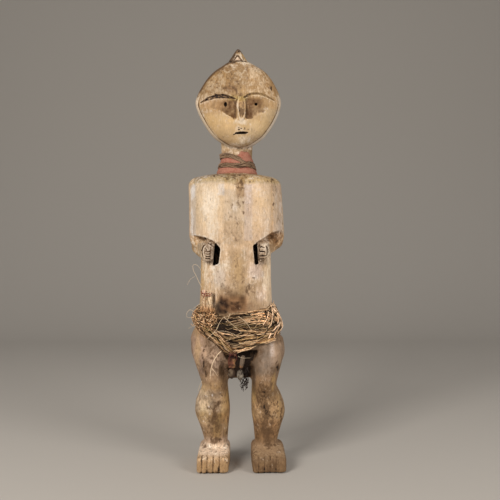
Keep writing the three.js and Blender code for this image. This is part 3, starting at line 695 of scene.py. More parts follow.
# Where the bare wood shows warm
WARM_WOOD = [
    # head
    (-60, 643, 16.5, 16.5, 0.3), (43, 643, 18.4, 16.5, 0.3), (-47, 733, 11, 14.7, 0.35),
    (-27, 730, 9.2, 12.9, 0.35), (1, 684, 3.7, 4.4, 0.7), (8, 702, 9.2, 5.5, 0.25),
    (-16, 651, 14.7, 5.5, 0.25),
    # shoulders and chest
    (-62, 540, 18.5, 4.8, 0.5), (-34, 538, 14.8, 4.1, 0.4), (43, 540, 25.9, 4.8, 0.5),
    (12, 541, 14.8, 5.5, 0.5), (43, 500, 14.6, 25.6, 0.3), (36, 456, 11, 14.6, 0.25),
    (61, 482, 1.5, 43.9, 0.4), (-60, 467, 14.6, 18.3, 0.15),
    # belly and arms
    (-1, 372, 9.2, 29.3, 0.4), (4, 335, 7.3, 11, 0.35), (56, 344, 2.9, 29.3, 0.45),
    (-68, 363, 2.9, 25.6, 0.5), (-54, 331, 9.2, 9.2, 0.3), (47, 386, 7.3, 14.6, 0.25),
    # thighs
    (-76, 221, 7.4, 36.8, 0.6), (-40, 162, 18.4, 11, 0.5), (76, 203, 2.9, 18.4, 0.5),
    (65, 168, 4.8, 18.4, 1), (-65, 155, 5.5, 11, 0.4),
    # calves
    (-20, 139, 2.8, 28, 1), (27, 137, 3, 26.1, 0.9), (27, 96, 2.6, 18.6, 0.5), (-27, 122, 5.6, 22.4, 0.4),
    (75, 122, 4.8, 26.1, 0.4), (-23, 77, 3.7, 18.6, 0.4), (74, 71, 3.8, 18.8, 0.4),
    (-65, 107, 7.5, 14.9, 0.3),
    # feet
    (-64, 15, 9.2, 9.2, 0.3), (-31, 15, 7.4, 9.2, 0.3),
]
# Brown stains and worn patches, and a painted shadow line down the chest
BROWN_STAIN_AND_SHADOW = [
    # head
    (-10, 730, 11, 14.7, 0.3), (15, 746, 4.4, 8.3, 0.55), (16, 731, 2.9, 2.2, 0.7), (-6, 706, 3.4, 6, 0.62),
    (-13, 710, 7.5, 3.4, 0.66), (-24, 709, 6.5, 2.4, 0.55), (-16, 752, 7.3, 3.7, 0.4),
    (4, 693, 4, 3.7, 0.6), (-30, 748, 5.5, 5.5, 0.35), (-64, 684, 5.5, 3.7, 0.3),
    (-43, 721, 3.7, 9.2, 0.25), (3, 627, 11, 3.7, 0.2), (36, 746, 5.5, 5.5, 0.35),
    (-1, 722, 5.5, 9.2, 0.25), (-23, 739, 5.5, 7.3, 0.2), (58, 711, 2.6, 7.3, 0.6),
    (-5, 700, 1.8, 3.7, 0.5),
    # shoulders and chest
    (-19, 538, 4.8, 3.7, 0.85), (-8, 544, 4.8, 2.6, 0.95), (3, 548, 3.7, 2.4, 1), (4, 533, 3.7, 3.7, 0.95),
    (8, 538, 3.7, 1.8, 0.6), (15, 542, 3.7, 2.6, 0.5), (21, 536, 5.5, 2.2, 0.5), (-14, 546, 3.7, 1.8, 0.6),
    (-27, 544, 5.5, 1.8, 0.4), (-45, 542, 5.5, 2.2, 0.4), (-58, 544, 5.5, 2.2, 0.4),
    (-73, 541, 3.7, 2.8, 0.4), (36, 542, 5.5, 2.2, 0.4), (54, 538, 4.4, 3, 0.6), (64, 540, 3.8, 3.8, 0.75),
    (-3, 524, 4, 7.3, 0.7), (4, 520, 3.7, 9.2, 0.75), (8, 526, 1.8, 9.2, 0.6), (1, 500, 3.7, 18.3, 0.5),
    (-12, 489, 2.9, 5.5, 0.6), (-13, 471, 2.6, 7.3, 0.5), (-3, 460, 5.5, 11, 0.45),
    # the first two, thin and upright at 9 across, are a painted shadow line along the edge of the lilac strip
    (9, 493, 0.9, 20.1, 0.95), (9, 456, 0.9, 18.3, 0.5), (-5, 434, 9.2, 14.6, 0.3),
    (-19, 449, 5.5, 18.3, 0.25), (64, 495, 0.9, 37.9, 0.6), (69, 527, 1.9, 7.6, 0.4),
    (73, 463, 2.7, 15.1, 0.4), (82, 466, 1.5, 26.5, 0.5), (-73, 429, 11, 3.7, 0.35),
    # belly and arms
    (-3, 386, 4.8, 14.6, 0.4), (-7, 353, 7.3, 14.6, 0.4), (8, 361, 3.7, 18.3, 0.4),
    (-18, 333, 7.3, 9.2, 0.65), (17, 339, 5.5, 11, 0.45), (-58, 342, 3.7, 11, 0.3),
    (32, 331, 7.3, 5.5, 0.3), (25, 348, 1.8, 9.2, 0.4), (-32, 339, 5.5, 7.3, 0.3),
    # thighs
    (-49, 230, 7.4, 4.4, 0.75), (-54, 236, 3.7, 5.5, 0.8), (-53, 203, 7.4, 22.1, 0.25),
    (-38, 195, 11, 14.7, 0.25), (36, 221, 7.4, 14.7, 0.35), (71, 193, 3.7, 9.2, 0.6),
    (-31, 184, 7.4, 11, 0.4), (-60, 186, 3.7, 12.9, 0.55), (28, 184, 3.7, 18.4, 0.4),
    (54, 180, 9.2, 9.2, 0.3), (-53, 164, 3.7, 7.4, 0.35), (43, 160, 5.5, 7.4, 0.8),
    (-31, 151, 1.8, 14.7, 0.35),
    # calves
    (46, 144, 9, 16, 0.95), (57, 137, 4.5, 7.5, 0.95), (36, 133, 3.7, 9.3, 0.5), (-18, 126, 1.1, 18.6, 0.5),
    (-61, 133, 1.9, 9.3, 0.5), (-55, 118, 4.5, 3.7, 0.6), (-38, 124, 4.5, 3.7, 0.6),
    (-44, 111, 3.7, 3.7, 0.6), (-43, 96, 6.5, 14, 0.75), (-40, 77, 6.3, 18.6, 0.5), (-44, 51, 9, 6, 0.78),
    (-52, 60, 4.5, 9.4, 0.4), (-74, 107, 1.9, 14.9, 0.3), (50, 107, 9, 30, 0.72), (55, 63, 9.4, 16.9, 0.9),
    (40, 122, 4.5, 18.6, 0.5), (64, 85, 4.5, 18.6, 0.5), (79, 99, 1.9, 18.6, 0.4), (46, 77, 3.7, 14.9, 0.6),
    (33, 71, 1.9, 22.6, 0.3),
    # feet
    (55, 44, 11.3, 3.8, 0.7), (-61, 39, 5.6, 3.8, 0.4), (-39, 39, 4.5, 1.9, 0.4), (34, 17, 9.2, 12.9, 0.3),
    (58, 13, 14.8, 12.9, 0.45),
]
# Nearly black marks, two of them painted shadow lines
INK_AND_SHADOW_MARKS = [
    # head
    (61, 711, 1.3, 5.5, 1.2), (-19, 766, 5.6, 1.3, 0.8), (-3, 767, 7.5, 1.5, 0.8),
    # shoulders and chest
    (-71, 545, 2.6, 0.9, 1), (-46, 547, 2, 1.5, 1.4), (-39, 549, 2.4, 1.1, 1), (3, 548, 2.6, 0.9, 0.7),
    # a painted shadow line under the chest's left edge
    (-63, 431, 2.2, 1.1, 1.2),
    # belly and arms: a painted shadow line beside the bundle that stands up from the mop
    (-45, 319, 1.4, 12, 0.9),
    # thighs
    (71, 193, 2.2, 2.2, 0.9), (72, 188, 1.7, 3.7, 0.6),
    # calves
    (48, 149, 1.8, 6, 0.3),
]
# Where the earth is thin and greyish, and a painted highlight on the right thigh
COOL_WASH_AND_HIGHLIGHT = [
    # belly and arms
    (-34, 359, 11, 20.1, 0.85), (32, 370, 11.9, 14.6, 0.85), (43, 324, 9.2, 11, 0.45),
    (17, 399, 9.2, 14.6, 0.3), (-45, 383, 9.2, 9.2, 0.45), (-23, 346, 9.2, 9.2, 0.35),
    (43, 399, 5.5, 18.3, 0.4),
    # thighs; the first spot is a painted highlight where the light catches the right thigh
    (62, 225, 5.5, 14.7, 1), (50, 203, 16.6, 33.1, 0.4), (-42, 210, 12.9, 22.1, 0.35),
    (72, 184, 3.7, 7.4, 0.3),
    # feet
    (-42, 35, 22.2, 9.2, 0.35), (-57, 35, 7.4, 7.4, 0.3),
]
# The smoky stain over the navel
BELLY_STAIN = [
    (-27, 316, 11, 9, 1), (-24, 306, 13, 8, 1), (-31, 300, 9, 9, 1), (-9, 312, 12, 4, 0.95),
    (6, 315, 7, 9, 0.75), (-6, 302, 19, 8, 0.86), (16, 306, 12, 8, 0.4), (-12, 326, 17, 9, 0.45),
    (-24, 334, 8, 9, 0.4), (8, 334, 8, 8, 0.3),
]
# Soot round the navel and beside it
SMOKE = [
    (-29, 312, 11, 7, 1), (-37, 303, 5, 11, 1), (-20, 304, 4.5, 9, 0.75), (-28, 295, 13, 6, 1.15),
    (-14, 312, 5, 3.5, 0.6), (-4, 311, 8, 3.5, 0.35), (8, 317, 4, 7, 0.3), (2, 302, 6, 6, 0.35),
]
STAIN = np.array([0.052, 0.021, 0.008])
LEFT_THIGH_CHECK = [
    (-59.9, 234, 0.4), (-64, 225, 0.9), (-65.4, 217, 1), (-64.5, 207, 1), (-63.6, 199, 1), (-61, 187, 0.9),
    (-59, 180, 0.4),
]
LIP_STREAKS = [
    [(-3, 652, 0.5), (-6, 645, 0.9), (-6, 640, 0.4)],
    [(1, 653, 0.5), (0, 646, 1.0), (-1, 639, 0.5)],
    [(6, 653, 0.6), (7, 646, 1.2), (8, 639, 0.6)],
    [(11, 652, 0.4), (14, 646, 1.0), (16, 640, 0.5)],
    [(15, 651, 0.4), (20, 645, 0.8), (23, 641, 0.4)],
]
# The wash of colour that each facet has taken, with painted highlights on the right thigh, as shares of red,
# green and blue: left, right, foot, head, how softly it ends, then the three shares
WASHES = [
    (-91, -79.5, 436, 532, 1.5, (0.95, 1.07, 1.30)),  # the left arm's bluish strip
    (-37, -26, 508, 531, 1.5, (0.96, 1.10, 1.40)),  # chest, left of the channel's head
    (-28, 10, 420, 462, 2.5, (0.78, 0.77, 0.76)),  # foot of the channel
    (-28, 10, 462, 520, 2.5, (0.83, 0.86, 0.93)),  # its upper part
    (-4, 11, 505, 534, 3, (0.66, 0.565, 0.455)),  # worn head of the channel
    (10.5, 25.5, 470, 530, 1.2, (0.83, 0.85, 0.99)),  # the lilac strip, upper half
    (10.5, 25.5, 425, 470, 1.2, (0.89, 0.95, 1.13)),  # the lilac strip, lower half
    (60, 64, 430, 532, 0.8, (0.82, 0.78, 0.77)),  # crease before the right arm
    (64, 82, 430, 532, 1.5, (0.91, 0.91, 0.97)),  # the right arm's outer side
    (-84, -26, 532, 556, 1.5, (0.80, 0.86, 0.98)),  # left shoulder
    (-26, -5, 532, 556, 3, (0.62, 0.60, 0.53)),  # beside the neck
    (-5, 13, 530, 556, 3, (0.60, 0.54, 0.45)),  # in front of the neck
    (13, 80, 532, 556, 1.5, (0.86, 0.87, 0.88)),  # right shoulder
    (-19, 14, 316, 408, 5, (0.82, 0.81, 0.78)),  # middle of the belly
    (47, 66, 300, 402, 4, (1.42, 1.40, 1.34)),  # the belly's right side
    (34, 52, 312, 342, 4, (1.29, 1.35, 1.50)),  # bluish patch low on the right
    (-68, -52, 300, 402, 3, (1.10, 1.10, 1.08)),  # the belly's left side
    (-74, -12, 690, 752, 9, (0.63, 0.57, 0.48)),  # forehead, left
    (-12, 18, 690, 752, 6, (0.88, 0.86, 0.82)),  # forehead, middle
    (-23, -3, 701, 713, 2.5, (0.80, 0.75, 0.74)),  # smudge over the nose
    (18, 74, 690, 752, 9, (0.84, 0.77, 0.66)),  # forehead, right
    (-80, 80, 604, 672, 4, (0.93, 0.95, 0.96)),  # below the hollows
    (18, 80, 604, 672, 4, (1.08, 1.14, 1.27)),  # right cheek
    (-20, 16, 684, 694, 3, (0.86, 0.86, 0.62)),  # olive skin over the bridge of the nose
    (-80, -37, 425, 532, 2, (0.98, 1.02, 1.07)),  # chest, left facet
    (25.5, 60, 425, 532, 1.5, (0.98, 0.98, 1.02)),  # chest, right facet
    (-48, -23, 338, 384, 4, (1.06, 1.17, 1.31)),  # cool patch left of the belly's middle
    (18, 46, 355, 384, 4, (1.16, 1.22, 1.38)),  # and right of it
    (56, 90, 405, 442, 3, (0.95, 0.80, 0.62)),  # right forearm
    (-64, -20, 180, 236, 5, (1.23, 1.26, 1.33)),  # the left thigh's front
    (57, 66, 212, 242, 3, (1.35, 1.45, 1.60)),  # where the light catches the right thigh
    (-84, -58, 396, 428, 3, (1.08, 1.10, 1.11)),  # left forearm
    (-90, -64, 180, 250, 5, (1.19, 1.23, 1.43)),  # the left thigh's outer side
    (60, 90, 196, 236, 5, (1.55, 1.62, 1.75)),  # the right thigh's outer side, lightened by a painted highlight
    (20, 62, 180, 244, 6, (0.88, 0.94, 1.01)),  # its front
    (-70, 80, 148, 180, 5, (1.27, 1.24, 1.21)),  # knees
    (20, 90, 92, 142, 6, (1.46, 1.48, 1.48)),  # right calf
    (20, 90, 55, 92, 6, (1.12, 1.04, 0.99)),  # right ankle
    (-90, -14, 24, 46, 3, (1.52, 1.66, 1.77)),  # top of the left foot
    (14, 100, 26, 46, 3, (1.26, 1.34, 1.39)),  # top of the right foot
    (-80, -20, 55, 92, 6, (1.14, 1.19, 1.30)),  # left ankle
    (-84, -52, 84, 160, 6, (1.38, 1.46, 1.50)),  # outer side of the left calf
    (-48, -33, 56, 106, 4, (0.76, 0.74, 0.60)),  # olive patch down its front
    (-84, -24, 108, 150, 6, (1.28, 1.44, 1.78)),  # the left calf
    (-34, -20, 84, 150, 3, (1.20, 1.14, 1.0)),  # its inner side
    (-90, -14, -5, 22, 3, (1.06, 1.09, 1.04)),  # left toes
    (-66, -48, 384, 424, 1.5, (0.78, 0.76, 0.76)),  # left fist
    (-36, 16, 292, 324, 7, (0.92, 0.76, 0.63)),  # over the navel
    (-16, 14, 303, 330, 5, (0.78, 0.76, 0.74)),  # right of the navel and over it
    (-70, -26, 662, 688, 4, (0.84, 0.78, 0.72)),  # outer end of the left hollow
    (13, 42, 650, 690, 3, (0.87, 0.83, 0.80)),  # right hollow beside the nose
    (-2, 13, 650, 690, 2, (0.93, 0.90, 0.88)),  # the nose
    (34, 66, 672, 690, 4, (0.90, 0.88, 0.84)),  # outer end of the right hollow
    (14, 100, -5, 24, 3, (1.07, 1.09, 1.03)),  # right toes
]


def length_of(v):
    """Lengths of the vectors on the last axis, kept as a column."""
    return np.linalg.norm(v, axis=-1, keepdims=True) + 1e-9


def spots(x, z, table):
    """The strongest of some soft oval spots at each place: strength times a bell of the distance."""
    total = 0
    for cx, cz, hx, hz, strength in table:
        away = np.sqrt(((x - cx) / hx) ** 2 + ((z - cz) / hz) ** 2)
        total = np.maximum(total, strength * ease(1.5, 0.3, away))
    return total


def toned(colour, other, share):
    """Colours moved towards another by a share for each point."""
    return colour + (other - colour) * np.clip(share, 0, 1)[:, None]


def bend(points, quads):
    """How sharply the skin turns at each point, in 1/mm: twice the distance that the point stands proud of
    the middle of its neighbours, over their squared distance. Above 0 on a ridge, below 0 in a groove."""
    a = quads.ravel()
    b = np.roll(quads, -1, axis=1).ravel()
    live = a != b
    a, b = a[live], b[live]
    number = len(points)
    corner = points[quads]
    facing = np.cross(corner[:, 2] - corner[:, 0], corner[:, 3] - corner[:, 1])
    normal = np.zeros((number, 3))
    for axis in range(3):
        for side in range(4):
            normal[:, axis] += np.bincount(quads[:, side], facing[:, axis], number)
    normal /= length_of(normal)
    count = np.bincount(a, minlength=number) + np.bincount(b, minlength=number)
    middle = np.stack([
        (np.bincount(a, points[b, axis], number) + np.bincount(b, points[a, axis], number)) / count
        for axis in range(3)
    ], axis=1)
    apart = ((points[a] - points[b]) ** 2).sum(1)
    apart = (np.bincount(a, apart, number) + np.bincount(b, apart, number)) / count
    turn = 2 * ((points - middle) * normal).sum(1) / apart
    for _ in range(2):
        turn = 0.4 * turn + 0.6 * (np.bincount(a, turn[b], number) + np.bincount(b, turn[a], number)) / count
    return turn


def within(low, high, soft, value):
    """1 between two limits and 0 outside them, with edges as soft as given."""
    return ease(low - soft, low + soft, value) * ease(high + soft, high - soft, value)


def wood_marks(points, turn):
    """The bare colour, the wash, the white earth, the dark soil, the painted shade and highlight, the roughness
    of the marks, the pits and the crazing at each point of the log."""
    x, y, z = points.T
    front = ease(6, -20, y)
    wide = x + 3.2 * waves(x, y, z, (8, 8, 9), 51) + 1.6 * waves(x, y, z, (3.5, 3.5, 4), 52)
    high = z + 4.5 * waves(x, y, z, (8, 8, 12), 53) + 2.0 * waves(x, y, z, (3.5, 3.5, 5), 54)
    blot = waves(x, y, z, (26, 26, 60), 11)
    mid = waves(x, y, z, (11, 11, 20), 12)
    small = waves(x, y, z, (5.5, 5.5, 9), 55)
    tiny = waves(x, y, z, (2.5, 2.5, 2.5), 56)
    head, chest = z > 602, (z > 425) & (z < 552)
    legs = ease(262, 232, z)

    # the bare wood
    tone = along(WOOD_TONES, z + 3 * blot).T
    mottled = legs * (0.30 * small + 0.18 * tiny + 0.14 * mid)
    tone = tone * (1 + 0.07 * mid + 0.06 * blot + 0.07 * small + mottled)[:, None]
    warm = OCHRE * (0.72 + 0.4 * ease(150, 500, z))[:, None]
    tone = toned(tone, warm, 0.8 * front * spots(wide, high, WARM_WOOD))
    side = ease(70, 84, x) * chest + ease(79, 90, -x) * chest
    tone = toned(tone, GREY_HANDLING * 1.9, 0.35 * side)
    tone = toned(tone, COOL_EARTH, 0.75 * front * spots(wide, high, COOL_WASH_AND_HIGHLIGHT))
    patina = legs * ease(140, 175, z) * ease(-0.5, 0.4, waves(x, y, z, (24, 30, 40), 15))
    tone = toned(tone, GREY_HANDLING, 0.6 * patina)
    right_leg = legs * ease(0, 20, x) * ease(46, 70, z)
    tone = tone * (1 - 0.16 * right_leg)[:, None]
    left_foot = ease(0, -10, x) * ease(62, 50, z)
    right_foot = ease(0, 10, x) * ease(56, 46, z)
    for foot, share, above, toes in (
        (left_foot, 0.8, LEFT_FOOT_TOP, LEFT_TOES),
        (right_foot, 0.85, RIGHT_FOOT_TOP, RIGHT_TOES),
    ):
        tone = toned(tone, above, share * foot * ease(26, 34, z))
        tone = toned(tone, toes, share * foot * ease(34, 26, z))
    fists = ease(426, 420, z) * ease(376, 386, z) * ease(-22, -34, y) * ease(29, 33, np.abs(x + 3))
    tone = toned(tone, FIST_BROWN, 0.9 * fists)
    edge = np.where(x < -3, along(CHEST_EDGE[-1], np.abs(x + 3))[0], along(CHEST_EDGE[1], np.abs(x + 3))[0])
    under = ease(1.0, -1.5, z - edge) * ease(380, 390, z) * ease(46, 60, np.abs(x + 4)) * (1 - fists)
    tone = toned(tone, UNDER_LEFT_ARM, 0.9 * under * ease(0, -10, x))
    tone = toned(tone, UNDER_RIGHT_ARM, 0.9 * under * ease(0, 10, x))
    inside = np.minimum(slot_gap(x, y, z, -1), slot_gap(x, y, z, 1))
    belly_side = ease(240, 300, z) * ease(430, 400, z) * ease(50, 64, np.abs(x + 5))
    tone = toned(tone, OCHRE * 0.9, 0.3 * belly_side * ease(20, -20, x))
    tone = toned(tone, EARTH * 0.92, 0.45 * belly_side * ease(20, 50, x))
    # painted shade: the wood in the hollow between the thighs darkened as it lies in shadow
    behind = ease(250, 225, z) * ease(160, 178, z) * ease(26, 16, np.abs(x - 2.5)) * (y < 10)
    tone = toned(tone, CROTCH_SHADE, 0.9 * behind)

    # the stain on the belly, the soot and the dark residue in the hollows of the eyes
    smoky = np.clip(front * spots(wide, high, BELLY_STAIN) * (0.84 + 0.3 * small + 0.15 * tiny), 0, 1)
    tone = toned(tone, STAIN, smoky)
    sooty = front * spots(0.5 * (x + wide), 0.5 * (z + high), SMOKE) * (0.85 + 0.3 * small + 0.2 * tiny)
    sooty = np.clip(sooty * ease(2.0, 4.2, np.hypot(x + 29, z - 302.3)), 0, 1)
    tone = toned(tone, SOOT_BLACK, sooty)
    rise_left = hollow(x, z, *LEFT_HOLLOW)
    smudge = 0.8 * (high - z) + 2.2 * tiny
    left_stain = ease(0.04, 0.42, hollow(x, z + smudge, *LEFT_HOLLOW)) * ease(-46, -25, wide)
    left_stain = left_stain * (0.95 + 0.3 * mid) * (1 - 0.5 * ease(683.5, 687.5, z + 0.6 * smudge))
    left_stain = left_stain * (0.72 + 0.28 * ease(-24, -16, wide))
    cut_off = 57 - 1.1 * np.clip(674 - high, 0, None)
    right_stain = ease(0.04, 0.42, hollow(x, z + smudge, *RIGHT_HOLLOW)) * ease(5, -5, wide - cut_off)
    right_stain = right_stain * (0.95 + 0.3 * mid) * (1 - 0.4 * ease(685.5, 689.5, z + 0.6 * smudge))
    right_stain = right_stain * (0.78 + 0.22 * ease(34, 22, wide))
    stain = np.clip((left_stain + right_stain) * (0.86 + 0.42 * small + 0.2 * tiny) * front, 0, 1)
    tone = toned(tone, HOLLOW_RESIDUE, stain * 0.97)
    outer_hollow = ease(0.06, 0.2, rise_left) * ease(-36, -46, wide) * front
    tone = tone * (1 - 0.28 * outer_hollow)[:, None]

    # the white earth, with a painted highlight on the right thigh
    ridge, groove = ease(0.03, 0.14, turn), ease(-0.03, -0.16, turn)
    face = ease(604, 612, z) * ease(714, 700, z) * front
    chalk = 0.16 + front * spots(wide, high, WHITE_EARTH_AND_HIGHLIGHT)
    chalk = chalk + 0.22 * ease(-0.2, 0.7, blot) * (z > 262) - 0.16 * legs
    chalk = chalk - 0.45 * front * spots(wide, high, COOL_WASH_AND_HIGHLIGHT) - 0.7 * front * spots(wide, high, BELLY_STAIN)
    rim = rim_distance(x, y, z)
    lower_rim = head * ease(4.6, 3.2, rim) * ease(712, 690, z) * ease(-4, -24, y + 7 * mid + 4 * small)
    chalk = np.maximum(chalk, 0.82 * lower_rim)
    nose_middle, nose_half = along(NOSE, z)
    off = np.abs(x - nose_middle + 0.5 * small)
    nose_edge = ease(2.5, 0.2, np.abs(off - nose_half + 0.4 + 0.8 * tiny))
    nose_edge = nose_edge * ease(642, 648, z) * ease(694, 682, z)
    chalk = np.maximum(chalk, (0.44 + 0.3 * tiny + 0.35 * small) * nose_edge * front)
    for streak in LIP_STREAKS:
        pale = ease(3.2, -0.8, stroke(wide * 0.5 + x * 0.5, z, streak)) * (0.52 + 0.35 * small + 0.2 * tiny)
        chalk = np.maximum(chalk, pale * front)
    over = stroke(x, z, [(a, b + w + 1.2, 0.4) for a, b, w in LEFT_BROW])
    below = stroke(x, z, [(a, b - w - 1.6, 0.4) for a, b, w in LEFT_BROW])
    chalk = np.maximum(chalk, 0.5 * ease(1.6, 0.2, np.minimum(over, below)) * front * head)
    under_right = stroke(x, z, [(a, b - w - 1.8, 0.4) for a, b, w in RIGHT_BROW])
    chalk = np.maximum(chalk, 0.5 * ease(1.6, 0.2, under_right) * front * head)
    chalk = chalk - 0.5 * stain
    chalk = chalk + 0.45 * ridge * (1 - 0.5 * legs) * (1 - 0.75 * face)
    chalk = chalk * (1 - 0.6 * legs * ease(52, 62, z)) - 0.7 * legs * ease(52, 62, z) - 0.5 * right_foot

    # the dark soil, and with it what is drawn in dark, and painted shade in the slots, the grooves and between
    # the thighs
    soil = 0.06 + front * spots(wide, high, BROWN_STAIN_AND_SHADOW) + 0.12 * legs
    soil = soil + 0.12 * front * spots(wide, high, BELLY_STAIN) * (1 + 2 * tiny)
    soil = np.minimum(soil, 1 - 0.2 * legs)
    soil = soil + 0.22 * stain + 0.16 * outer_hollow
    patchy = 1.02 + 0.75 * tiny + 0.3 * small - 0.3 * ease(-50, -66, x)
    left_brow = ease(1.2, -0.5, stroke(x, z, LEFT_BROW)) * patchy
    soil = np.maximum(soil, left_brow * front * head)
    right_brow = ease(1.7, -0.6, stroke(x, z, RIGHT_BROW)) * front * head
    tone = toned(tone, RIGHT_BROW_TONE, 0.95 * right_brow)
    soil = np.maximum(soil, (0.22 + 0.6 * ease(22, 14, x)) * right_brow)
    chalk = chalk - 0.7 * right_brow
    between = ease(nose_half - 1.2, nose_half - 4, off) * ease(648, 653, z) * ease(690, 680, z)
    soil = np.maximum(soil, (0.42 + 0.5 * ease(9, 2, np.abs(z - 664)) + 0.25 * tiny) * between * front)
    v_mark = stroke(x, z, [(-9, 684, 0.5), (-6.6, 680, 1.1), (-3, 686, 0.5)])
    soil = np.maximum(soil, ease(1.6, 0, v_mark) * front)
    nostril = np.hypot((x - 5.3) / 1.8, (z - 660.8) / 3.2)
    soil = np.maximum(soil, ease(1.3, 0.5, nostril) * front)
    for ex, ez, hx, hz in EYES:
        soil = np.maximum(soil, 2.2 * ease(1.15, 0.85, np.hypot((x - ex) / hx, (z - ez) / hz)) * front)
    mx, mz, hx, hz = MOUTH
    lips = np.hypot((wide * 0.3 + x * 0.7 - mx) / hx, (high * 0.3 + z * 0.7 - mz - 0.06 * (x - mx)) / hz)
    soil = np.maximum(soil, 2.2 * ease(1.25, 0.8, lips) * front)
    spike = stroke(x, z, [(-3, 625.4, 0.9), (-10, 622.2, 0.3)])
    soil = np.maximum(soil, 1.8 * ease(0.9, 0, spike) * front)
    dots = ease(0.3, 0.6, waves(x, y, z, (2.2, 3, 2.2), 57))
    dots = dots * ease(6, 3, np.abs(z - 632)) * ease(12, 8, np.abs(x - 9))
    soil = np.maximum(soil, 1.7 * dots * front)
    in_groove = ease(1.8, 0.4, np.abs(rim - 5.0)) * ease(704, 676, z) * head * front
    soil = np.maximum(soil, 0.75 * in_groove * (0.85 + 0.4 * mid))
    top_rim = ease(3.2, 0.8, rim) * ease(690, 712, z) * ease(16, -8, x) * head * ease(4, -18, y + 7 * mid)
    soil = np.maximum(soil, top_rim)
    soil = soil + front * 1.25 * spots(wide * 0.3 + x * 0.7, high * 0.3 + z * 0.7, INK_AND_SHADOW_MARKS)
    soil = soil * (1 - 0.9 * np.maximum(smoky, sooty))
    soil = np.maximum(soil, 1.5 * ease(0.8, -0.5, stroke(x, z, LEFT_THIGH_CHECK)) * front)
    soil = np.maximum(soil, 0.9 * ease(1.0, -0.2, stroke(x, z, [(26, 357, 0.7), (36, 355.5, 0.5)])) * front)
    # painted shade: the slots between the fists and the belly drawn near black
    soil = np.maximum(soil, 2.0 * ease(1.2, -0.8, inside) * (z > 370) * (z < 430) * (y < -16))
    hand = ease(-30, -40, y) * (z > 380) * (z < 426)
    for line in HAND_CUTS:
        soil = np.maximum(soil, 1.3 * hand * ease(1.2, 0.0, stroke(wide * 0.2 + x * 0.8, z, line)))
    for line in HAND_RIDGES:
        bright = 0.95 if line[0][0] > 0 else 0.5
        chalk = np.maximum(chalk, bright * hand * ease(1.4, 0.0, stroke(x, z, line)))
    soil = soil + 0.3 * under * ease(0.1, 0.6, tiny)
    for side_of in (-1, 1):
        for toe in TOE_GROOVES[side_of]:
            lane = ease(2.2, 0.5, np.abs(x - toe - 0.03 * (z - 14))) * ease(-44, -50, y) * (z < 38)
            soil = np.maximum(soil, (0.6 if side_of < 0 else 0.75) * lane)
    # painted shade between the thighs and behind the skirt's point, drawn near black
    crotch_shade = ease(-1.5, 0.5, -between_thighs(x, y, z)) * (z > 160) * (z < 240) * (y < 0)
    soil = np.maximum(soil, 1.7 * crotch_shade)
    soil = np.maximum(soil, 1.7 * behind)
    frame_line = stroke(x, z, TRIANGLE)
    soil = np.maximum(soil, ease(1.5, -0.1, frame_line) * (y < -3) * (z > 764))
    beside = ease(0.6, 2.0, frame_line) * (z > 760) * (y < 10)
    soil = np.maximum(soil, 1.15 * beside * ease(-2, -8, x))
    soil = np.maximum(soil, 1.2 * ease(2.4, 0.4, np.abs(z - 766)) * (np.abs(x + 1) < 17) * (y < -20))
    soil = np.maximum(soil, 1.25 * ease(786, 794, z))
    tone = toned(tone, OCHRE * 0.72, 0.9 * beside * ease(0, 5, x))
    inner = (z > 767.5) & (z < 784) & (np.abs(x - TRIANGLE[1][0]) < (784 - z) * 0.5) & (y < 0)
    tone = toned(tone, CREST_INSET, 0.85 * inner)
    speck = ease(0.25, 0.7, waves(x, y, z, (3.4, 3.4, 4.2), 59)) * ease(-0.5, 0.5, mid)
    soil = soil + speck * (0.45 * (z > 690) + 0.42 * legs + 0.12)
    speck = ease(0.25, 0.7, waves(x, y, z, (3.0, 3.0, 5.0), 60)) * ease(0.5, -0.5, mid)
    chalk = chalk + speck * (0.3 * (z > 690) + 0.16) * front
    # painted shade in the grooves, by how sharply the skin bends there, and a mottle over the legs
    soil = soil + 0.50 * groove + 0.30 * ease(0.1, 0.8, waves(x, y, z, (9, 9, 30), 17)) * legs
    soil = soil + 0.14 * ease(0.2, 0.8, waves(x, y, z, (15, 15, 44), 18)) * (z > 262)

    # the washes over it all, and how rough, pitted and crazed the skin is
    wash = np.ones((len(x), 3))
    nudge = 1.3 * waves(x, y, z, (9, 9, 16), 58)
    for left, right, low, top, soft, *shares in WASHES:
        facet = within(left, right, soft, x + nudge) * within(low, top, soft, z + nudge)
        wash = wash * (1 + (np.array(shares) - 1) * (facet * front)[:, None])
    # a dark upright line along the lilac strip's edge: painted shadow
    line = ease(1.5, 0.5, np.abs(x + 0.5 * nudge - 9.9)) * ease(466, 476, z) * ease(532, 524, z) * front
    wash = wash * (1 - 0.32 * line)[:, None]
    rough = 0.75 + 0.5 * under + 0.1 * legs + 0.3 * fists
    rough = rough - 0.3 * ease(600, 612, z) * ease(672, 655, z) * front
    rough = rough + 0.35 * ease(532, 540, z) * ease(562, 552, z)
    rough = rough - 0.3 * ease(0, 20, x) * ease(170, 190, z) * legs
    right_calf = ease(158, 130, z) * ease(50, 62, z) * ease(32, 44, x)
    pitted = 0.55 * under + 1.2 * right_calf * ease(-0.6, 0.1, mid) * front
    pitted = pitted + 0.35 * ease(532, 540, z) * ease(560, 552, z) + 0.3 * stain
    crazed = left_foot * ease(-20, -30, y) + 0.75 * legs * ease(-0.5, 0.3, blot) + 0.25 * (z > 700)
    return tone, wash, chalk, soil, rough, np.clip(pitted, 0, 1), np.clip(crazed, 0, 1)


def add(tree, kind, inputs=None, **settings):
    """A shader node with its settings, and its sockets linked or set."""
    node = tree.nodes.new(kind)
    for name, value in settings.items():
        setattr(node, name, value)
    for name, value in (inputs or {}).items():
        if isinstance(value, bpy.types.NodeSocket):
            tree.links.new(value, node.inputs[name])
        else:
            node.inputs[name].default_value = value
    return node


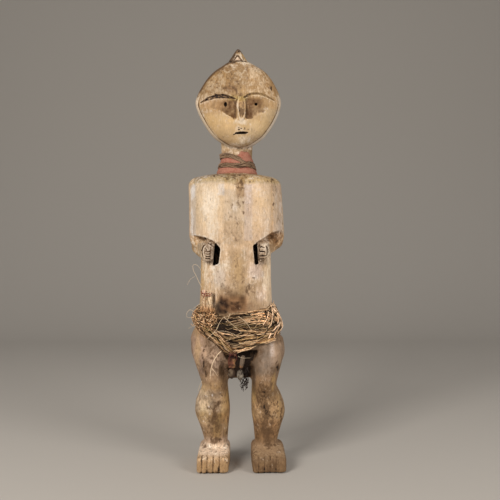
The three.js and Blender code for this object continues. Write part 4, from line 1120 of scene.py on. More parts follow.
def sums(tree, kind, a, b=0.0, c=0.0):
    """One step of arithmetic between sockets or numbers."""
    return add(tree, "ShaderNodeMath", {0: a, 1: b, 2: c}, operation=kind).outputs[0]


def eased(tree, value, low, high):
    """0 below low and 1 above high, smoothly."""
    node = add(tree, "ShaderNodeMapRange", {"Value": value, "From Min": low, "From Max": high})
    node.interpolation_type = "SMOOTHSTEP"
    return node.outputs["Result"]


def blended(tree, share, a, b, kind="MIX"):
    """Two colours mixed by a share."""
    node = add(tree, "ShaderNodeMix", data_type="RGBA", blend_type=kind)
    for name, value in ((0, share), (6, a), (7, b)):
        if isinstance(value, bpy.types.NodeSocket):
            tree.links.new(value, node.inputs[name])
        else:
            node.inputs[name].default_value = value
    return node.outputs[2]


def noise(tree, where, scale, detail=2.0, roughness=0.5):
    """Noise from 0 to 1 at a place."""
    inputs = {"Vector": where, "Scale": scale, "Detail": detail, "Roughness": roughness}
    return add(tree, "ShaderNodeTexNoise", inputs).outputs["Fac"]


def finish_of(name):
    """A new material with its tree, its shader and the object's own coordinates."""
    material = bpy.data.materials.new(name)
    material.use_nodes = True
    tree = material.node_tree
    where = tree.nodes.new("ShaderNodeTexCoord").outputs["Object"]
    return material, tree, tree.nodes["Principled BSDF"], where


def kept(tree, name, kind="Fac"):
    """A number or a colour that the mesh carries for each point."""
    return add(tree, "ShaderNodeAttribute", attribute_name=name).outputs[kind]


def shaded(tree, tint, depth):
    """A colour made darker or lighter by a number."""
    grey = add(tree, "ShaderNodeCombineColor", {0: depth, 1: depth, 2: depth}).outputs[0]
    return blended(tree, 1.0, tint, grey, "MULTIPLY")


def coated(tree, shader, tint, roughness, gloss, height, strength, deep):
    """Puts the colour, roughness, gloss and bump on a material's shader."""
    bump = add(tree, "ShaderNodeBump", {"Height": height, "Strength": strength, "Distance": deep})
    for name, value in (("Base Color", tint), ("Roughness", roughness), ("Normal", bump.outputs[0])):
        tree.links.new(value, shader.inputs[name])
    shader.inputs["Specular IOR Level"].default_value = gloss


def carved_wood():
    """Dry pale wood: fine upright fibres, short checks, pits, and coats of earth and soil, with the painted
    shade and highlight they carry, whose edges break up over lumps of about 13, 5 and 2 mm."""
    material, tree, shader, where = finish_of("carved_wood")
    upright = add(tree, "ShaderNodeMapping", {"Vector": where, "Scale": (1, 1, 0.12)}).outputs[0]
    slender = add(tree, "ShaderNodeMapping", {"Vector": where, "Scale": (1, 1, 0.6)}).outputs[0]
    coarse = noise(tree, slender, 85, 4, 0.62)
    medium = noise(tree, slender, 260, 4, 0.66)
    other = noise(tree, where, 190, 4, 0.66)
    grain = noise(tree, upright, 430, 3, 0.62)
    fine = noise(tree, where, 900, 2, 0.6)
    jitter = {"Vector": where, "Scale": 170.0, "Detail": 2.0}
    other_way = add(tree, "ShaderNodeTexNoise", jitter).outputs["Color"]
    rough = kept(tree, "rough")

    def spread(value, amount):
        """A noise about 0 times an amount and the roughness of the marks here."""
        about_0 = sums(tree, "SUBTRACT", value, 0.5)
        return sums(tree, "MULTIPLY", sums(tree, "MULTIPLY", about_0, amount), rough)

    def broken(value, *lumps):
        """A value with several spread noises added."""
        for lump, amount in lumps:
            value = sums(tree, "ADD", value, spread(lump, amount))
        return value

    chalk = broken(kept(tree, "chalk"), (coarse, 1.5), (other, 2.0), (grain, 1.1))
    chalk = eased(tree, chalk, 0.16, 0.82)
    soil = sums(tree, "SUBTRACT", kept(tree, "soil"), spread(coarse, 1.2))
    soil = broken(soil, (medium, 2.4), (grain, 0.35))
    soot = eased(tree, soil, 1.0, 1.5)
    soil = eased(tree, soil, 0.22, 0.92)

    vein = sums(tree, "ABSOLUTE", sums(tree, "SUBTRACT", noise(tree, upright, 150, 4, 0.62), 0.5))
    check = sums(tree, "MULTIPLY", eased(tree, vein, 0.010, 0.002), eased(tree, coarse, 0.52, 0.62))
    dashed = add(tree, "ShaderNodeMapping", {"Vector": where, "Scale": (1, 1, 0.36)}).outputs[0]
    cells = add(tree, "ShaderNodeTexVoronoi", {"Vector": dashed, "Scale": 290.0}).outputs["Distance"]
    moved = {0: where, 1: other_way, 2: (0.004, 0.004, 0.004)}
    bent = add(tree, "ShaderNodeVectorMath", moved, operation="MULTIPLY_ADD").outputs[0]
    cracks = {"Vector": bent, "Scale": 260.0}
    crack = add(tree, "ShaderNodeTexVoronoi", cracks, feature="DISTANCE_TO_EDGE").outputs["Distance"]
    pitted = kept(tree, "pitted")
    pit = sums(tree, "MULTIPLY_ADD", pitted, -0.34, cells)
    pit = eased(tree, sums(tree, "MULTIPLY_ADD", medium, 0.5, pit), 0.20, 0.10)
    fleck = sums(tree, "MULTIPLY", eased(tree, fine, 0.66, 0.72), eased(tree, other, 0.45, 0.6))
    fleck = sums(tree, "MULTIPLY", fleck, eased(tree, kept(tree, "chalk"), -0.1, 0.15))

    depth = broken(1.0, (medium, -0.85), (grain, 0.7), (fine, 0.35))
    ochre = sums(tree, "MULTIPLY", eased(tree, other, 0.52, 0.66), 0.30)
    tint = blended(tree, ochre, kept(tree, "tone", "Color"), (*OCHRE, 1), "MULTIPLY")
    tint = blended(tree, sums(tree, "MULTIPLY", chalk, 0.72), tint, (*EARTH, 1))
    tint = shaded(tree, tint, depth)
    tint = blended(tree, 1.0, tint, kept(tree, "wash", "Color"), "MULTIPLY")
    craze = sums(tree, "MULTIPLY", eased(tree, crack, 0.10, 0.03), kept(tree, "crazed"))
    for coat, share, colour in (
        (check, 0.5, CHECK_BROWN),
        (craze, 0.45, CRAZE_BROWN),
        (soil, 0.86, BROWN_SOIL),
        (soot, 1.0, SOOT),
        (pit, 0.85, PIT_BROWN),
        (fleck, 0.5, EARTH_FLECK),
    ):
        tint = blended(tree, sums(tree, "MULTIPLY", coat, share), tint, (*colour, 1))
    finish = sums(tree, "MULTIPLY_ADD", medium, 0.25, 0.5)
    finish = sums(tree, "MULTIPLY_ADD", chalk, 0.2, finish)
    height = sums(tree, "MULTIPLY_ADD", grain, 0.5, sums(tree, "MULTIPLY", medium, 0.9))
    for relief, rise in ((chalk, 0.15), (check, -0.6), (pit, -0.8)):
        height = sums(tree, "MULTIPLY_ADD", relief, rise, height)
    coated(tree, shader, tint, finish, 0.16, height, 0.6, 0.0011)
    return material


def carry(piece, name, values):
    """Puts a colour or a number for each point on a piece."""
    if values.ndim == 2:
        layer = piece.data.attributes.new(name, "FLOAT_COLOR", "POINT")
        full = np.concatenate([values, np.ones((len(values), 1))], axis=1)
        layer.data.foreach_set("color", full.astype(np.float32).ravel())
    else:
        layer = piece.data.attributes.new(name, "FLOAT", "POINT")
        layer.data.foreach_set("value", values.astype(np.float32))


carved_log = new_piece("carved_log", points, quads)
kinds = ("tone", "wash", "chalk", "soil", "rough", "pitted", "crazed")
for name, values in zip(kinds, wood_marks(points, bend(points, quads))):
    carry(carved_log, name, values)
carved_log.data.materials.append(carved_wood())
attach(carved_log, "root")
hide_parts("carved_figure")

# The red cloth, a strip wound once round the neck and a little over its own beginning behind. The cord
# holds it down, so it puffs out above, between and below the cord's rounds. It is faded, frayed and
# soiled.
# Direction from the front in degrees, low edge, high edge
NECK_CLOTH = [
    (-180, 555, 588), (-90, 555, 586), (-20, 553, 586), (6, 553, 591), (18, 553, 597), (40, 553, 597),
    (70, 553.5, 588), (90, 554, 585), (180, 555, 588),
]
# Direction, height of the cord's first and second round
CORD_LEVELS = [
    (-180, 574, 580), (-90, 591, 572), (-40, 590, 571), (-15, 587, 569.5), (8, 581.5, 568.7),
    (26, 574.5, 571), (50, 570, 574.5), (90, 569, 573.5), (180, 574, 580),
]
CLOTH_RED = np.array([0.37, 0.085, 0.055])
CLOTH_FADED = np.array([0.52, 0.235, 0.165])
CLOTH_SOIL = np.array([0.085, 0.045, 0.03])


def folded(direction):
    """The same direction between -180 and 180 degrees."""
    return (direction + 180) % 360 - 180


def round_point(table, direction, height):
    """A point on an upright form by its direction from the front and its height, and the way out from it."""
    angle = np.radians(direction - 90)
    middle, half, front, back, square = along(table, height)
    across, deep = np.cos(angle), np.sin(angle)
    x = middle + np.sign(across) * np.abs(across) ** (2 / square) * half
    y = np.sign(deep) * np.abs(deep) ** (2 / square) * np.where(deep < 0, front, back)
    return np.stack([x, y, height], -1), np.stack([across, deep, np.zeros_like(across)], -1)


def cloth_strip():
    """Rings of the strip, rings[along, across]: its outer face from low to high, then its inner face back
    down. The outer face stands off the neck by 1.3 mm under a cord and by 2.8 mm clear of it, plus its
    wrinkles."""
    direction = np.linspace(-190, 205, 230)[:, None]
    up = np.linspace(0, 1, 16)[None, :]
    low, high = along(NECK_CLOTH, folded(direction))
    low = low + 0.8 * waves(direction / 3, 0 * direction, 0 * direction, (4, 9, 9), 31)
    high = high + 1.2 * waves(direction / 3, 0 * direction, 0 * direction + 5, (5, 9, 9), 32)
    height = low + (high - low) * up
    first, second = along(CORD_LEVELS, folded(direction))
    clear = np.minimum(np.abs(height - first), np.abs(height - second))
    puff = ease(2.6, 7.0, clear)
    lift = 2.3 * ease(140, 166, direction)
    ruck = 0.5 * waves(direction / 2, height, 0 * height, (9, 3.2, 9), 33) * (0.3 + puff)
    spot, away = round_point(NECK, folded(direction) + 0 * height, height)
    edge = ease(0, 0.10, up) * ease(1, 0.90, up)
    outer = spot + away * (lift + 1.3 * (0.55 + 0.45 * edge) + 1.5 * puff * edge + ruck)[..., None]
    inner = spot + away * (lift + 0.35 + 0 * height)[..., None]
    spread = np.tile(direction * 0.62 + 0 * up, (1, 2))
    rise = np.concatenate([height, height[:, ::-1]], axis=1)
    worn = np.concatenate([puff, 0 * puff], axis=1)
    return np.concatenate([outer, inner[:, ::-1]], axis=1), spread, rise, worn


def ring_walls(rows, sides):
    """The faces between rings of points: each joins two neighbours in one ring to the same two in the
    next."""
    i, j = np.meshgrid(np.arange(rows - 1), np.arange(sides), indexing="ij")
    nxt = (j + 1) % sides
    corners = [i * sides + j, (i + 1) * sides + j, (i + 1) * sides + nxt, i * sides + nxt]
    return np.stack(corners, -1).reshape(-1, 4)


def strip_skin(rings):
    """Points and faces of a flat strip with closed ends, from rings whose second half runs back behind the
    first."""
    count, sides = rings.shape[:2]
    k = np.arange(sides // 2 - 1)
    ladder = np.stack([k, k + 1, sides - 2 - k, sides - 1 - k], -1)
    far = ladder[:, ::-1] + (count - 1) * sides
    return rings.reshape(-1, 3), np.concatenate([ring_walls(count, sides), ladder, far])


def red_cloth():
    """Coarse plain weave, red where it is sheltered and faded on the folds, with dark soil beside the
    cord."""
    material, tree, shader, where = finish_of("red_cloth")
    thread = add(tree, "ShaderNodeCombineXYZ", {0: kept(tree, "spread"), 1: kept(tree, "rise")}).outputs[0]
    yarn = {"Vector": thread, "Distortion": 1.2, "Detail Scale": 2.0}
    warp = add(tree, "ShaderNodeTexWave", {**yarn, "Scale": 0.42})
    weft = add(tree, "ShaderNodeTexWave", {**yarn, "Scale": 0.46}, bands_direction="Y")
    weave = sums(tree, "MULTIPLY", warp.outputs["Fac"], weft.outputs["Fac"])
    mottle = noise(tree, where, 130, 3, 0.6)
    fuzz = noise(tree, where, 700, 2, 0.6)
    worn = kept(tree, "faded")
    faded = eased(tree, sums(tree, "ADD", mottle, sums(tree, "MULTIPLY", worn, 0.35)), 0.52, 0.86)
    tint = blended(tree, faded, (*CLOTH_RED, 1), (*CLOTH_FADED, 1))
    soiled = sums(tree, "SUBTRACT", 1.0, worn)
    soiled = eased(tree, sums(tree, "MULTIPLY_ADD", mottle, 0.5, soiled), 0.62, 1.25)
    tint = blended(tree, soiled, tint, (*CLOTH_SOIL, 1))
    depth = sums(tree, "MULTIPLY_ADD", weave, 0.5, 0.72)
    depth = sums(tree, "MULTIPLY_ADD", sums(tree, "SUBTRACT", fuzz, 0.5), 0.5, depth)
    finish = sums(tree, "MULTIPLY_ADD", fuzz, 0.1, 0.85)
    height = sums(tree, "MULTIPLY_ADD", fuzz, 0.6, weave)
    coated(tree, shader, shaded(tree, tint, depth), finish, 0.2, height, 0.6, 0.0005)
    return material


rings, spread, rise, worn = cloth_strip()
points, quads = strip_skin(rings)
neck_cloth = new_piece("neck_strip", points, quads)
for name, values in (("spread", spread), ("rise", rise), ("faded", worn)):
    carry(neck_cloth, name, values.reshape(-1))
neck_cloth.data.materials.append(red_cloth())
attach(neck_cloth, "root")
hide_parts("neck_cloth")

# The neck cord, two rounds of a flat cord with its ends knotted behind. It is two strands of split bark
# laid side by side, and the rounds cross in front on the viewer's right.
CORD_OFF, STRAND_RISE = 2.9, 2.35
STRAND_HALF_UP, STRAND_HALF_OUT = 1.95, 1.1
BARK_PALE = np.array([0.40, 0.27, 0.17])
BARK_GREY = np.array([0.30, 0.205, 0.14])
BARK_DARK = np.array([0.10, 0.055, 0.032])


def tubes(paths, wide, thick, lean=(0.31, 0.22, 0.92)):
    """Four-sided strands along many paths at once, paths[strand, point]: side = run x lean, up = side x
    run, and the corners lie at +-wide along side and +-thick along up. The ends are closed."""
    run = np.gradient(paths, axis=1)
    run = run / length_of(run)
    side = np.cross(run, np.array(lean))
    side = side / length_of(side)
    up = np.cross(side, run)
    wide = np.broadcast_to(wide, paths.shape[:2])[..., None]
    thick = np.broadcast_to(thick, paths.shape[:2])[..., None]
    ring = np.stack([side * wide, up * thick, -side * wide, -up * thick], axis=2)
    points = (paths[:, :, None] + ring).reshape(-1, 3)
    strands, steps = paths.shape[:2]
    first = (np.arange(strands) * steps * 4)[:, None, None] + (np.arange(steps - 1) * 4)[None, :, None]
    k = np.arange(4)
    a, b = first + k, first + (k + 1) % 4
    walls = np.stack([a, a + 4, b + 4, b], axis=-1).reshape(-1, 4)
    heads = (np.arange(strands) * steps * 4)[:, None] + k
    tails = heads + (steps - 1) * 4
    return points, np.concatenate([walls, heads, tails[:, ::-1]])


def smooth_path(places, steps):
    """A smooth run through points: each coordinate follows its own cubic over the length so far."""
    places = np.array(places, float)
    so_far = np.concatenate([[0], np.cumsum(np.linalg.norm(np.diff(places, axis=0), axis=1))])
    return along(np.column_stack([so_far, places]), np.linspace(0, so_far[-1], steps)).T


def closed_grid(points):
    """Points and faces of a grid that is closed both ways, points[round, section]."""
    rounds, sides = points.shape[:2]
    i, j = np.meshgrid(np.arange(rounds), np.arange(sides), indexing="ij")
    nxt, up = (i + 1) % rounds, (j + 1) % sides
    faces = np.stack([i * sides + j, nxt * sides + j, nxt * sides + up, i * sides + up], -1)
    return points.reshape(-1, 3), faces.reshape(-1, 4)


def capped(rings, foot, head):
    """Points and faces of a closed skin: rings from foot to head, each end drawn in to a single point."""
    rows, sides = rings.shape[:2]
    walls = ring_walls(rows, sides)[:, [0, 3, 2, 1]]
    k = np.arange(sides)
    low, high = rows * sides, rows * sides + 1
    below = np.stack([k, np.full(sides, low), (k + 1) % sides, (k + 1) % sides], -1)
    top = (rows - 1) * sides
    above = np.stack([top + k, top + (k + 1) % sides, np.full(sides, high), np.full(sides, high)], -1)
    points = np.concatenate([rings.reshape(-1, 3), [foot, head]])
    return points, np.concatenate([walls, below, above])


def egg(place, half, sides=28, rows=18, dent=None):
    """Points and faces of an egg-shaped lump, whose radius is scaled by 1 + dent(turn, rise)."""
    turn = np.linspace(0, 2 * np.pi, sides, endpoint=False)[None, :]
    rise = np.linspace(-np.pi / 2 + 0.14, np.pi / 2 - 0.14, rows)[:, None]
    grid = np.stack([np.cos(turn) * np.cos(rise), np.sin(turn) * np.cos(rise), np.sin(rise) + 0 * turn], -1)
    if dent is not None:
        grid = grid * (1 + dent(turn, rise))[..., None]
    place, half = np.array(place, float), np.array(half, float)
    return capped(place + grid * half, place - (0, 0, half[2]), place + (0, 0, half[2]))


def strand_tone(draw, count, steps, palette, weights, spread=0.18):
    """One of some colours for each strand, a little lighter or darker along it."""
    pick = draw.choice(len(palette), count, p=weights)
    shade = 1 + spread * draw.standard_normal((count, 1)) + 0.10 * draw.standard_normal((count, steps))
    return np.array(palette)[pick][:, None, :] * np.clip(shade, 0.35, 1.8)[..., None]


class Hank:
    """Strands and lumps gathered into one mesh, with the colour of each point."""

    def __init__(self):
        self.points, self.faces, self.tones, self.count = [], [], [], 0

    def body(self, points, faces, tones):
        self.points.append(points)
        self.faces.append(faces + self.count)
        self.tones.append(np.broadcast_to(tones, points.shape))
        self.count += len(points)

    def lay(self, paths, wide, thick, tones):
        points, faces = tubes(paths, wide, thick)
        self.body(points, faces, np.repeat(np.broadcast_to(tones, paths.shape).reshape(-1, 3), 4, axis=0))

    def piece(self, name, material, slot):
        made = new_piece(name, np.concatenate(self.points), np.concatenate(self.faces))
        carry(made, "tone", np.concatenate(self.tones))
        made.data.materials.append(material)
        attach(made, "root")
        return made


def plant_fibre(name, scale, gloss, rough):
    """Plant fibre: the colour kept for each point, with any painted shade and highlight in it, flecked and
    streaked, with a fine rough skin.
    """
    material, tree, shader, where = finish_of(name)
    fleck = noise(tree, where, scale, 3, 0.6)
    patch = noise(tree, where, 90, 2, 0.5)
    depth = sums(tree, "MULTIPLY_ADD", sums(tree, "SUBTRACT", fleck, 0.5), 0.9, 1.0)
    depth = sums(tree, "MULTIPLY_ADD", sums(tree, "SUBTRACT", patch, 0.5), 0.5, depth)
    tint = shaded(tree, kept(tree, "tone", "Color"), depth)
    finish = sums(tree, "MULTIPLY_ADD", fleck, 0.3, rough)
    coated(tree, shader, tint, finish, gloss, fleck, 0.4, 0.0003)
    return material


draw = np.random.default_rng(11)
cord = Hank()
steps, fibres = 170, 12
direction = np.linspace(-180, 180, steps)[None, :]
turn = 2 * np.pi * np.arange(fibres)[:, None] / fibres
for level in (0, 1):
    height = along(CORD_LEVELS, direction)[level]
    over = 2.5 * ease(26, 8, np.abs(direction - 30)) * (level == 1)
    for half in (-1, 1):
        sway = 0.35 * np.sin(np.radians(direction) * (7 + 2 * level) + half)
        lie = turn + np.radians(direction) * half * 5.0
        up = height + half * STRAND_RISE + sway + STRAND_HALF_UP * np.sin(lie)
        spot, away = round_point(NECK, direction + 0 * up, up)
        out = CORD_OFF + over + STRAND_HALF_OUT * np.cos(lie)
        tones = strand_tone(draw, fibres, steps, [BARK_PALE, BARK_GREY, BARK_DARK], [0.3, 0.5, 0.2], 0.12)
        cord.lay(spot + away * out[..., None], 0.55, 0.36, tones)
        # a dark core under the fibres, seen only between them: painted shade
        core = height + half * STRAND_RISE + sway
        spot, away = round_point(NECK, direction, core)
        cord.lay(spot + away * (CORD_OFF + over)[..., None], 1.25, 0.75, BARK_DARK * 0.5)
# the knot behind, over the ends of both rounds
knot, out = round_point(NECK, np.array(180.0), np.array(576.0))
knot = knot + out * 5.5
points, faces = egg(knot, (6.5, 2.4, 7.5))
cord.body(points, faces, BARK_DARK * 0.5)
count, steps = 26, 12
run = np.linspace(0, 1, steps)[None, :]
turn = draw.uniform(0, 6, (count, 1)) + draw.uniform(2, 4, (count, 1)) * run
reach = draw.uniform(0.55, 1, (count, 1))
paths = np.stack([7 * reach * np.cos(turn), 3.0 + 0 * turn - 1.6 * reach**2, 8 * reach * np.sin(turn)], -1)
paths = paths + knot
cord.lay(paths, 0.8, 0.5, strand_tone(draw, count, steps, [BARK_PALE, BARK_GREY, BARK_DARK], [0.3, 0.5, 0.2]))
neck_cord = cord.piece("neck_cord_rounds", plant_fibre("bark_fibre", 620, 0.14, 0.75), "bark_cord")
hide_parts("neck_cord")

# The skirt: split palm fibre wound round the hips in many turns. Its ends are knotted to a rough mop on the
# viewer's left hip, twisted over themselves on the other hip and gathered to a point in front.
# Direction from the front in degrees, low edge, high edge, thickness
SKIRT = [
    (-180, 262, 300, 12), (-120, 262, 302, 11), (-85, 266, 304, 9), (-62, 264, 303, 8), (-36, 249, 297, 9),
    (-16, 230, 293, 10), (-6, 224, 293, 11), (14, 231, 296, 10), (40, 244, 302, 10), (62, 249, 308, 10),
    (90, 251, 309, 9.5), (130, 260, 304, 11), (180, 262, 300, 12),
]
# The hanks in front: places across and up, strands, half width of the hank, kind
HANKS = [
    ([(-48.7, 287.6), (-24.8, 289.4), (-1.1, 292.5), (20.8, 294.6), (42.8, 297.6),
      (59.8, 298.9)], 13, 1.5, "mixed"),
    ([(-46.8, 282.9), (-23.0, 283.2), (2.6, 286.1), (24.4, 288.9), (50.3, 291.0)], 11, 1.6, "mixed"),
    ([(-45.0, 277.6), (-19.3, 277.9), (2.6, 280.7), (24.4, 283.1), (54.1, 282.6)], 10, 1.7, "bright"),
    ([(-4.7, 274.3), (13.5, 276.5), (31.8, 277.2), (57.8, 274.1)], 16, 2.2, "bright"),
    ([(14, 282), (32, 283.5), (48, 284.5), (60, 282)], 22, 3.6, "pale"),
    ([(10, 275), (30, 277), (46, 277.5), (60, 272)], 20, 3.4, "pale"),
    ([(-37.6, 277.7), (-15.7, 272.3), (6.2, 263.7), (24.4, 256.8), (42.8, 251.8)], 10, 1.8, "olive"),
    ([(-30.3, 268.5), (-4.7, 269.4), (20.8, 267.8), (42.8, 265.6), (63.6, 262.7)], 8, 1.6, "olive"),
    ([(-48.7, 265.6), (-30.3, 265.6), (-4.7, 261.9), (20.8, 260.2), (42.8, 258.2),
      (63.6, 258.1)], 8, 1.5, "mixed"),
    ([(-46.8, 259.3), (-23.0, 255.5), (2.6, 253.0), (24.4, 252.8), (46.6, 254.4),
      (65.5, 255.1)], 13, 1.9, "mixed"),
    ([(-41.3, 253.0), (-19.3, 247.9), (6.2, 245.5), (28.1, 247.7), (54.1, 251.3)], 13, 1.8, "olive"),
    ([(-33.9, 245.0), (-13.8, 239.5), (9.8, 238.8), (31.8, 242.1), (59.8, 249.1)], 13, 1.7, "mixed"),
    ([(-26.6, 235.8), (-8.4, 230.4), (9.8, 231.5), (31.8, 237.0), (63.6, 246.0)], 13, 1.6, "mixed"),
    ([(-13.8, 221.3), (-2.9, 223.5), (13.5, 227.1), (35.5, 234.3), (67.5, 244.7)], 14, 1.5, "bright"),
    ([(-79.3, 271.3), (-56.1, 251.1), (-37.6, 235.6), (-24.8, 224.1), (-10.2, 217.7)], 26, 3.0, "mixed"),
    ([(-65.6, 266.8), (-48.7, 253.7), (-30.3, 238.6), (-17.5, 226.0), (-7.5, 218.0)], 30, 3.2, "olive"),
    ([(-50.5, 260.1), (-33.9, 248.6), (-21.1, 235.1), (-12.0, 224.2), (-6.6, 218.0)], 26, 2.8, "mixed"),
]
# Where the skirt's fibres part, the strands there sunk and darkened as painted shade: lines across and up, with
# their half width
GAPS = [
    [(-34, 279, 0.6), (-20, 280, 1.1), (0, 280, 0.5)], [(-38, 278, 1.5), (-24, 276, 1.3)],
    [(-40, 271, 2.6), (-28, 269, 2.6), (-11, 268, 1.2)], [(-42, 266, 1), (-15, 261, 1)],
    [(-15, 262, 1.3), (9, 258, 1.3)], [(-47, 253, 1.5), (-35, 248, 0.9)], [(-7, 245, 1.3), (11, 250, 1.3)],
    [(-18, 243, 1.8), (-1, 238, 2)], [(9, 243, 0.9), (31, 246, 0.9)],
    [(-2, 228, 1), (22, 233, 1.4), (47, 237, 1.2)], [(1, 218, 1), (19, 221, 1)],
    [(49, 255, 1.3), (54, 264, 1.1)], [(37, 246, 1), (45, 250, 1)], [(62, 256, 1.4), (72, 265, 1.2)],
    [(72, 255, 1.3), (80, 264, 1.2)], [(71, 269, 1.2), (78, 278, 1.1)], [(61, 267, 1.2), (69, 276, 1.1)],
    [(64, 285, 1.2), (72, 293, 1)], [(51, 292, 1.1), (61, 299, 1.2)], [(45, 302, 1.1), (53, 306, 1.1)],
    [(71, 302, 1.2), (78, 293, 1.3)], [(1, 287, 0.8), (21, 289, 0.7)], [(23, 280, 0.7), (46, 282, 0.7)],
    [(-41, 293, 1.6), (-37, 289, 1.4)], [(24, 257, 0.8), (40, 250, 0.9)], [(66, 291, 1.1), (70, 286, 1)],
    [(-54, 261, 0.7), (-41, 250, 1), (-33, 241, 0.6)], [(-62, 252, 0.6), (-48, 241, 0.9), (-34, 229, 0.6)],
    [(-36, 238, 0.6), (-24, 227, 0.9), (-16, 221, 0.5)], [(-70, 262, 0.6), (-60, 256, 0.9)],
]
MOP, MOP_HALF = (-59, -46, 284), (26, 22, 22)
BUNDLE = (-58.5, -61)  # the middle of the bundle that stands up from the mop
HANK_TINT = np.array([1.30, 1.18, 1.08])
TWIST_TINT = np.array([1.56, 1.50, 1.57])
MOP_TINT = np.array([1.38, 1.23, 1.11])
STRAW = np.array([0.66, 0.48, 0.30])
PALE_STRAW = np.array([0.80, 0.63, 0.44])
TAN = np.array([0.40, 0.255, 0.135])
BROWN = np.array([0.20, 0.115, 0.058])
DARK = np.array([0.045, 0.026, 0.016])
OLIVE = np.array([0.44, 0.325, 0.155])
FIBRES = np.array([PALE_STRAW, STRAW, TAN, OLIVE, BROWN, DARK * 1.6])
SHARES = {
    "mixed": [0.15, 0.27, 0.24, 0.06, 0.18, 0.10],
    "bright": [0.34, 0.34, 0.16, 0.03, 0.09, 0.04],
    "olive": [0.05, 0.14, 0.22, 0.32, 0.17, 0.10],
    "pale": [0.58, 0.30, 0.08, 0.02, 0.02, 0.0],
    "dark": [0.06, 0.16, 0.26, 0.08, 0.27, 0.17],
}


def off_wood(paths, away, clear):
    """The paths pushed out until each point is its own clearance from the wood."""
    for _ in range(3):
        gap = log_gap(*np.moveaxis(paths, -1, 0), fine=False)
        paths = paths + away * np.clip(clear - gap, 0, 8)[..., None]
    return paths


def wound(direction, share, layer, lift=0.0):
    """Paths round the hips: direction along each, share of the way up the band, share of its thickness."""
    direction = folded(direction)
    low, high, thick = along(SKIRT, direction)
    height = low + (high - low) * (0.04 + 0.92 * share)
    spot, away = round_point(TRUNK, direction + 0 * height, height)
    fullness = 0.3 + 0.7 * np.clip(1 - np.abs(2 * share - 1) ** 2.4, 0, 1) ** 0.5
    clear = 1.0 + layer * fullness * (thick - 1.5) + lift
    return off_wood(spot + away * clear[..., None], away, clear)


def parted(paths):
    """How far each point of the paths lies in one of the gaps in front, from 0 to 1."""
    x, y, z = np.moveaxis(paths, -1, 0)
    nearest = 99
    for gap in GAPS:
        nearest = np.minimum(nearest, stroke(x + 0.8 * np.sin(z / 2.1), z + 0.5 * np.sin(x / 3.3), gap))
    return ease(0.9, -0.3, nearest) * (y < -10)


def lay_apart(hank, paths, wide, thick, tones):
    """Lays strands that sink into the gaps and are darkened there as painted shade."""
    deep = parted(paths)[..., None]
    inward = np.array([0.0, 1.0, 0.0]) * 2.2 * deep
    hank.lay(paths + inward, wide, thick, tones * (1 - 0.9 * deep))


fibre_finish = plant_fibre("palm_fibre", 520, 0.14, 0.55)
draw = np.random.default_rng(21)
wrap = Hank()
# the inner turns, painted nearly black as shade, seen only between the outer strands
round_about = np.linspace(-180, 180, 96, endpoint=False)
section = np.linspace(0, 2 * np.pi, 10, endpoint=False)
share = 0.5 - 0.47 * np.cos(section)[None, :] + 0 * round_about[:, None]
depth = 0.30 + 0.26 * np.sin(section)[None, :]
bed = wound(round_about[:, None] + 0 * share, share, depth + 0 * share)
bed_points, bed_faces = closed_grid(bed)
wrap.body(bed_points, bed_faces, DARK * 0.35)

# the turns at the back and the sides
count, steps = 180, 32
run = np.linspace(0, 1, steps)[None, :]
start = draw.uniform(46, 215, (count, 1))
end = np.minimum(start + draw.uniform(80, 220, (count, 1)), draw.uniform(300, 322, (count, 1)))
direction = start + (end - start) * run
share = draw.uniform(0, 1, (count, 1))
sway = direction / draw.uniform(16, 50, (count, 1)) + draw.uniform(0, 6, (count, 1))
share = share + 0.07 * np.sin(sway) + draw.uniform(-0.25, 0.25, (count, 1)) * (run - 0.5)
frayed = ease(0.95, 1, run) + ease(0.05, 0, run)
layer = draw.uniform(0.25, 1.0, (count, 1)) + 0.10 * np.sin(direction / 9 + draw.uniform(0, 6, (count, 1)))
share, layer = np.clip(share, -0.03, 1.03), np.clip(layer, 0.2, 1.1)
paths = wound(direction, share, layer, frayed * draw.uniform(0, 3, (count, 1)))
tones = strand_tone(draw, count, steps, FIBRES, SHARES["mixed"])
wrap.lay(paths, draw.uniform(0.5, 1.15, (count, 1)), draw.uniform(0.3, 0.6, (count, 1)), tones)

# loose strands in front, deep between the hanks, darkened a fifth as painted shade
count, steps = 130, 30
run = np.linspace(0, 1, steps)[None, :]
start = draw.uniform(-34, 30, (count, 1))
direction = start + draw.uniform(22, 50, (count, 1)) * run
share = draw.uniform(0, 1, (count, 1)) + draw.uniform(-0.36, 0.36, (count, 1)) * (run - 0.5)
share = share + 0.03 * np.sin(direction / draw.uniform(3, 9, (count, 1)))
paths = wound(direction, np.clip(share, 0.0, 1.0), draw.uniform(0.3, 0.95, (count, 1)) + 0 * run)
tones = strand_tone(draw, count, steps, FIBRES, SHARES["dark"], 0.25)
lay_apart(wrap, paths, draw.uniform(0.35, 0.85, (count, 1)), draw.uniform(0.3, 0.5, (count, 1)), 0.8 * tones)

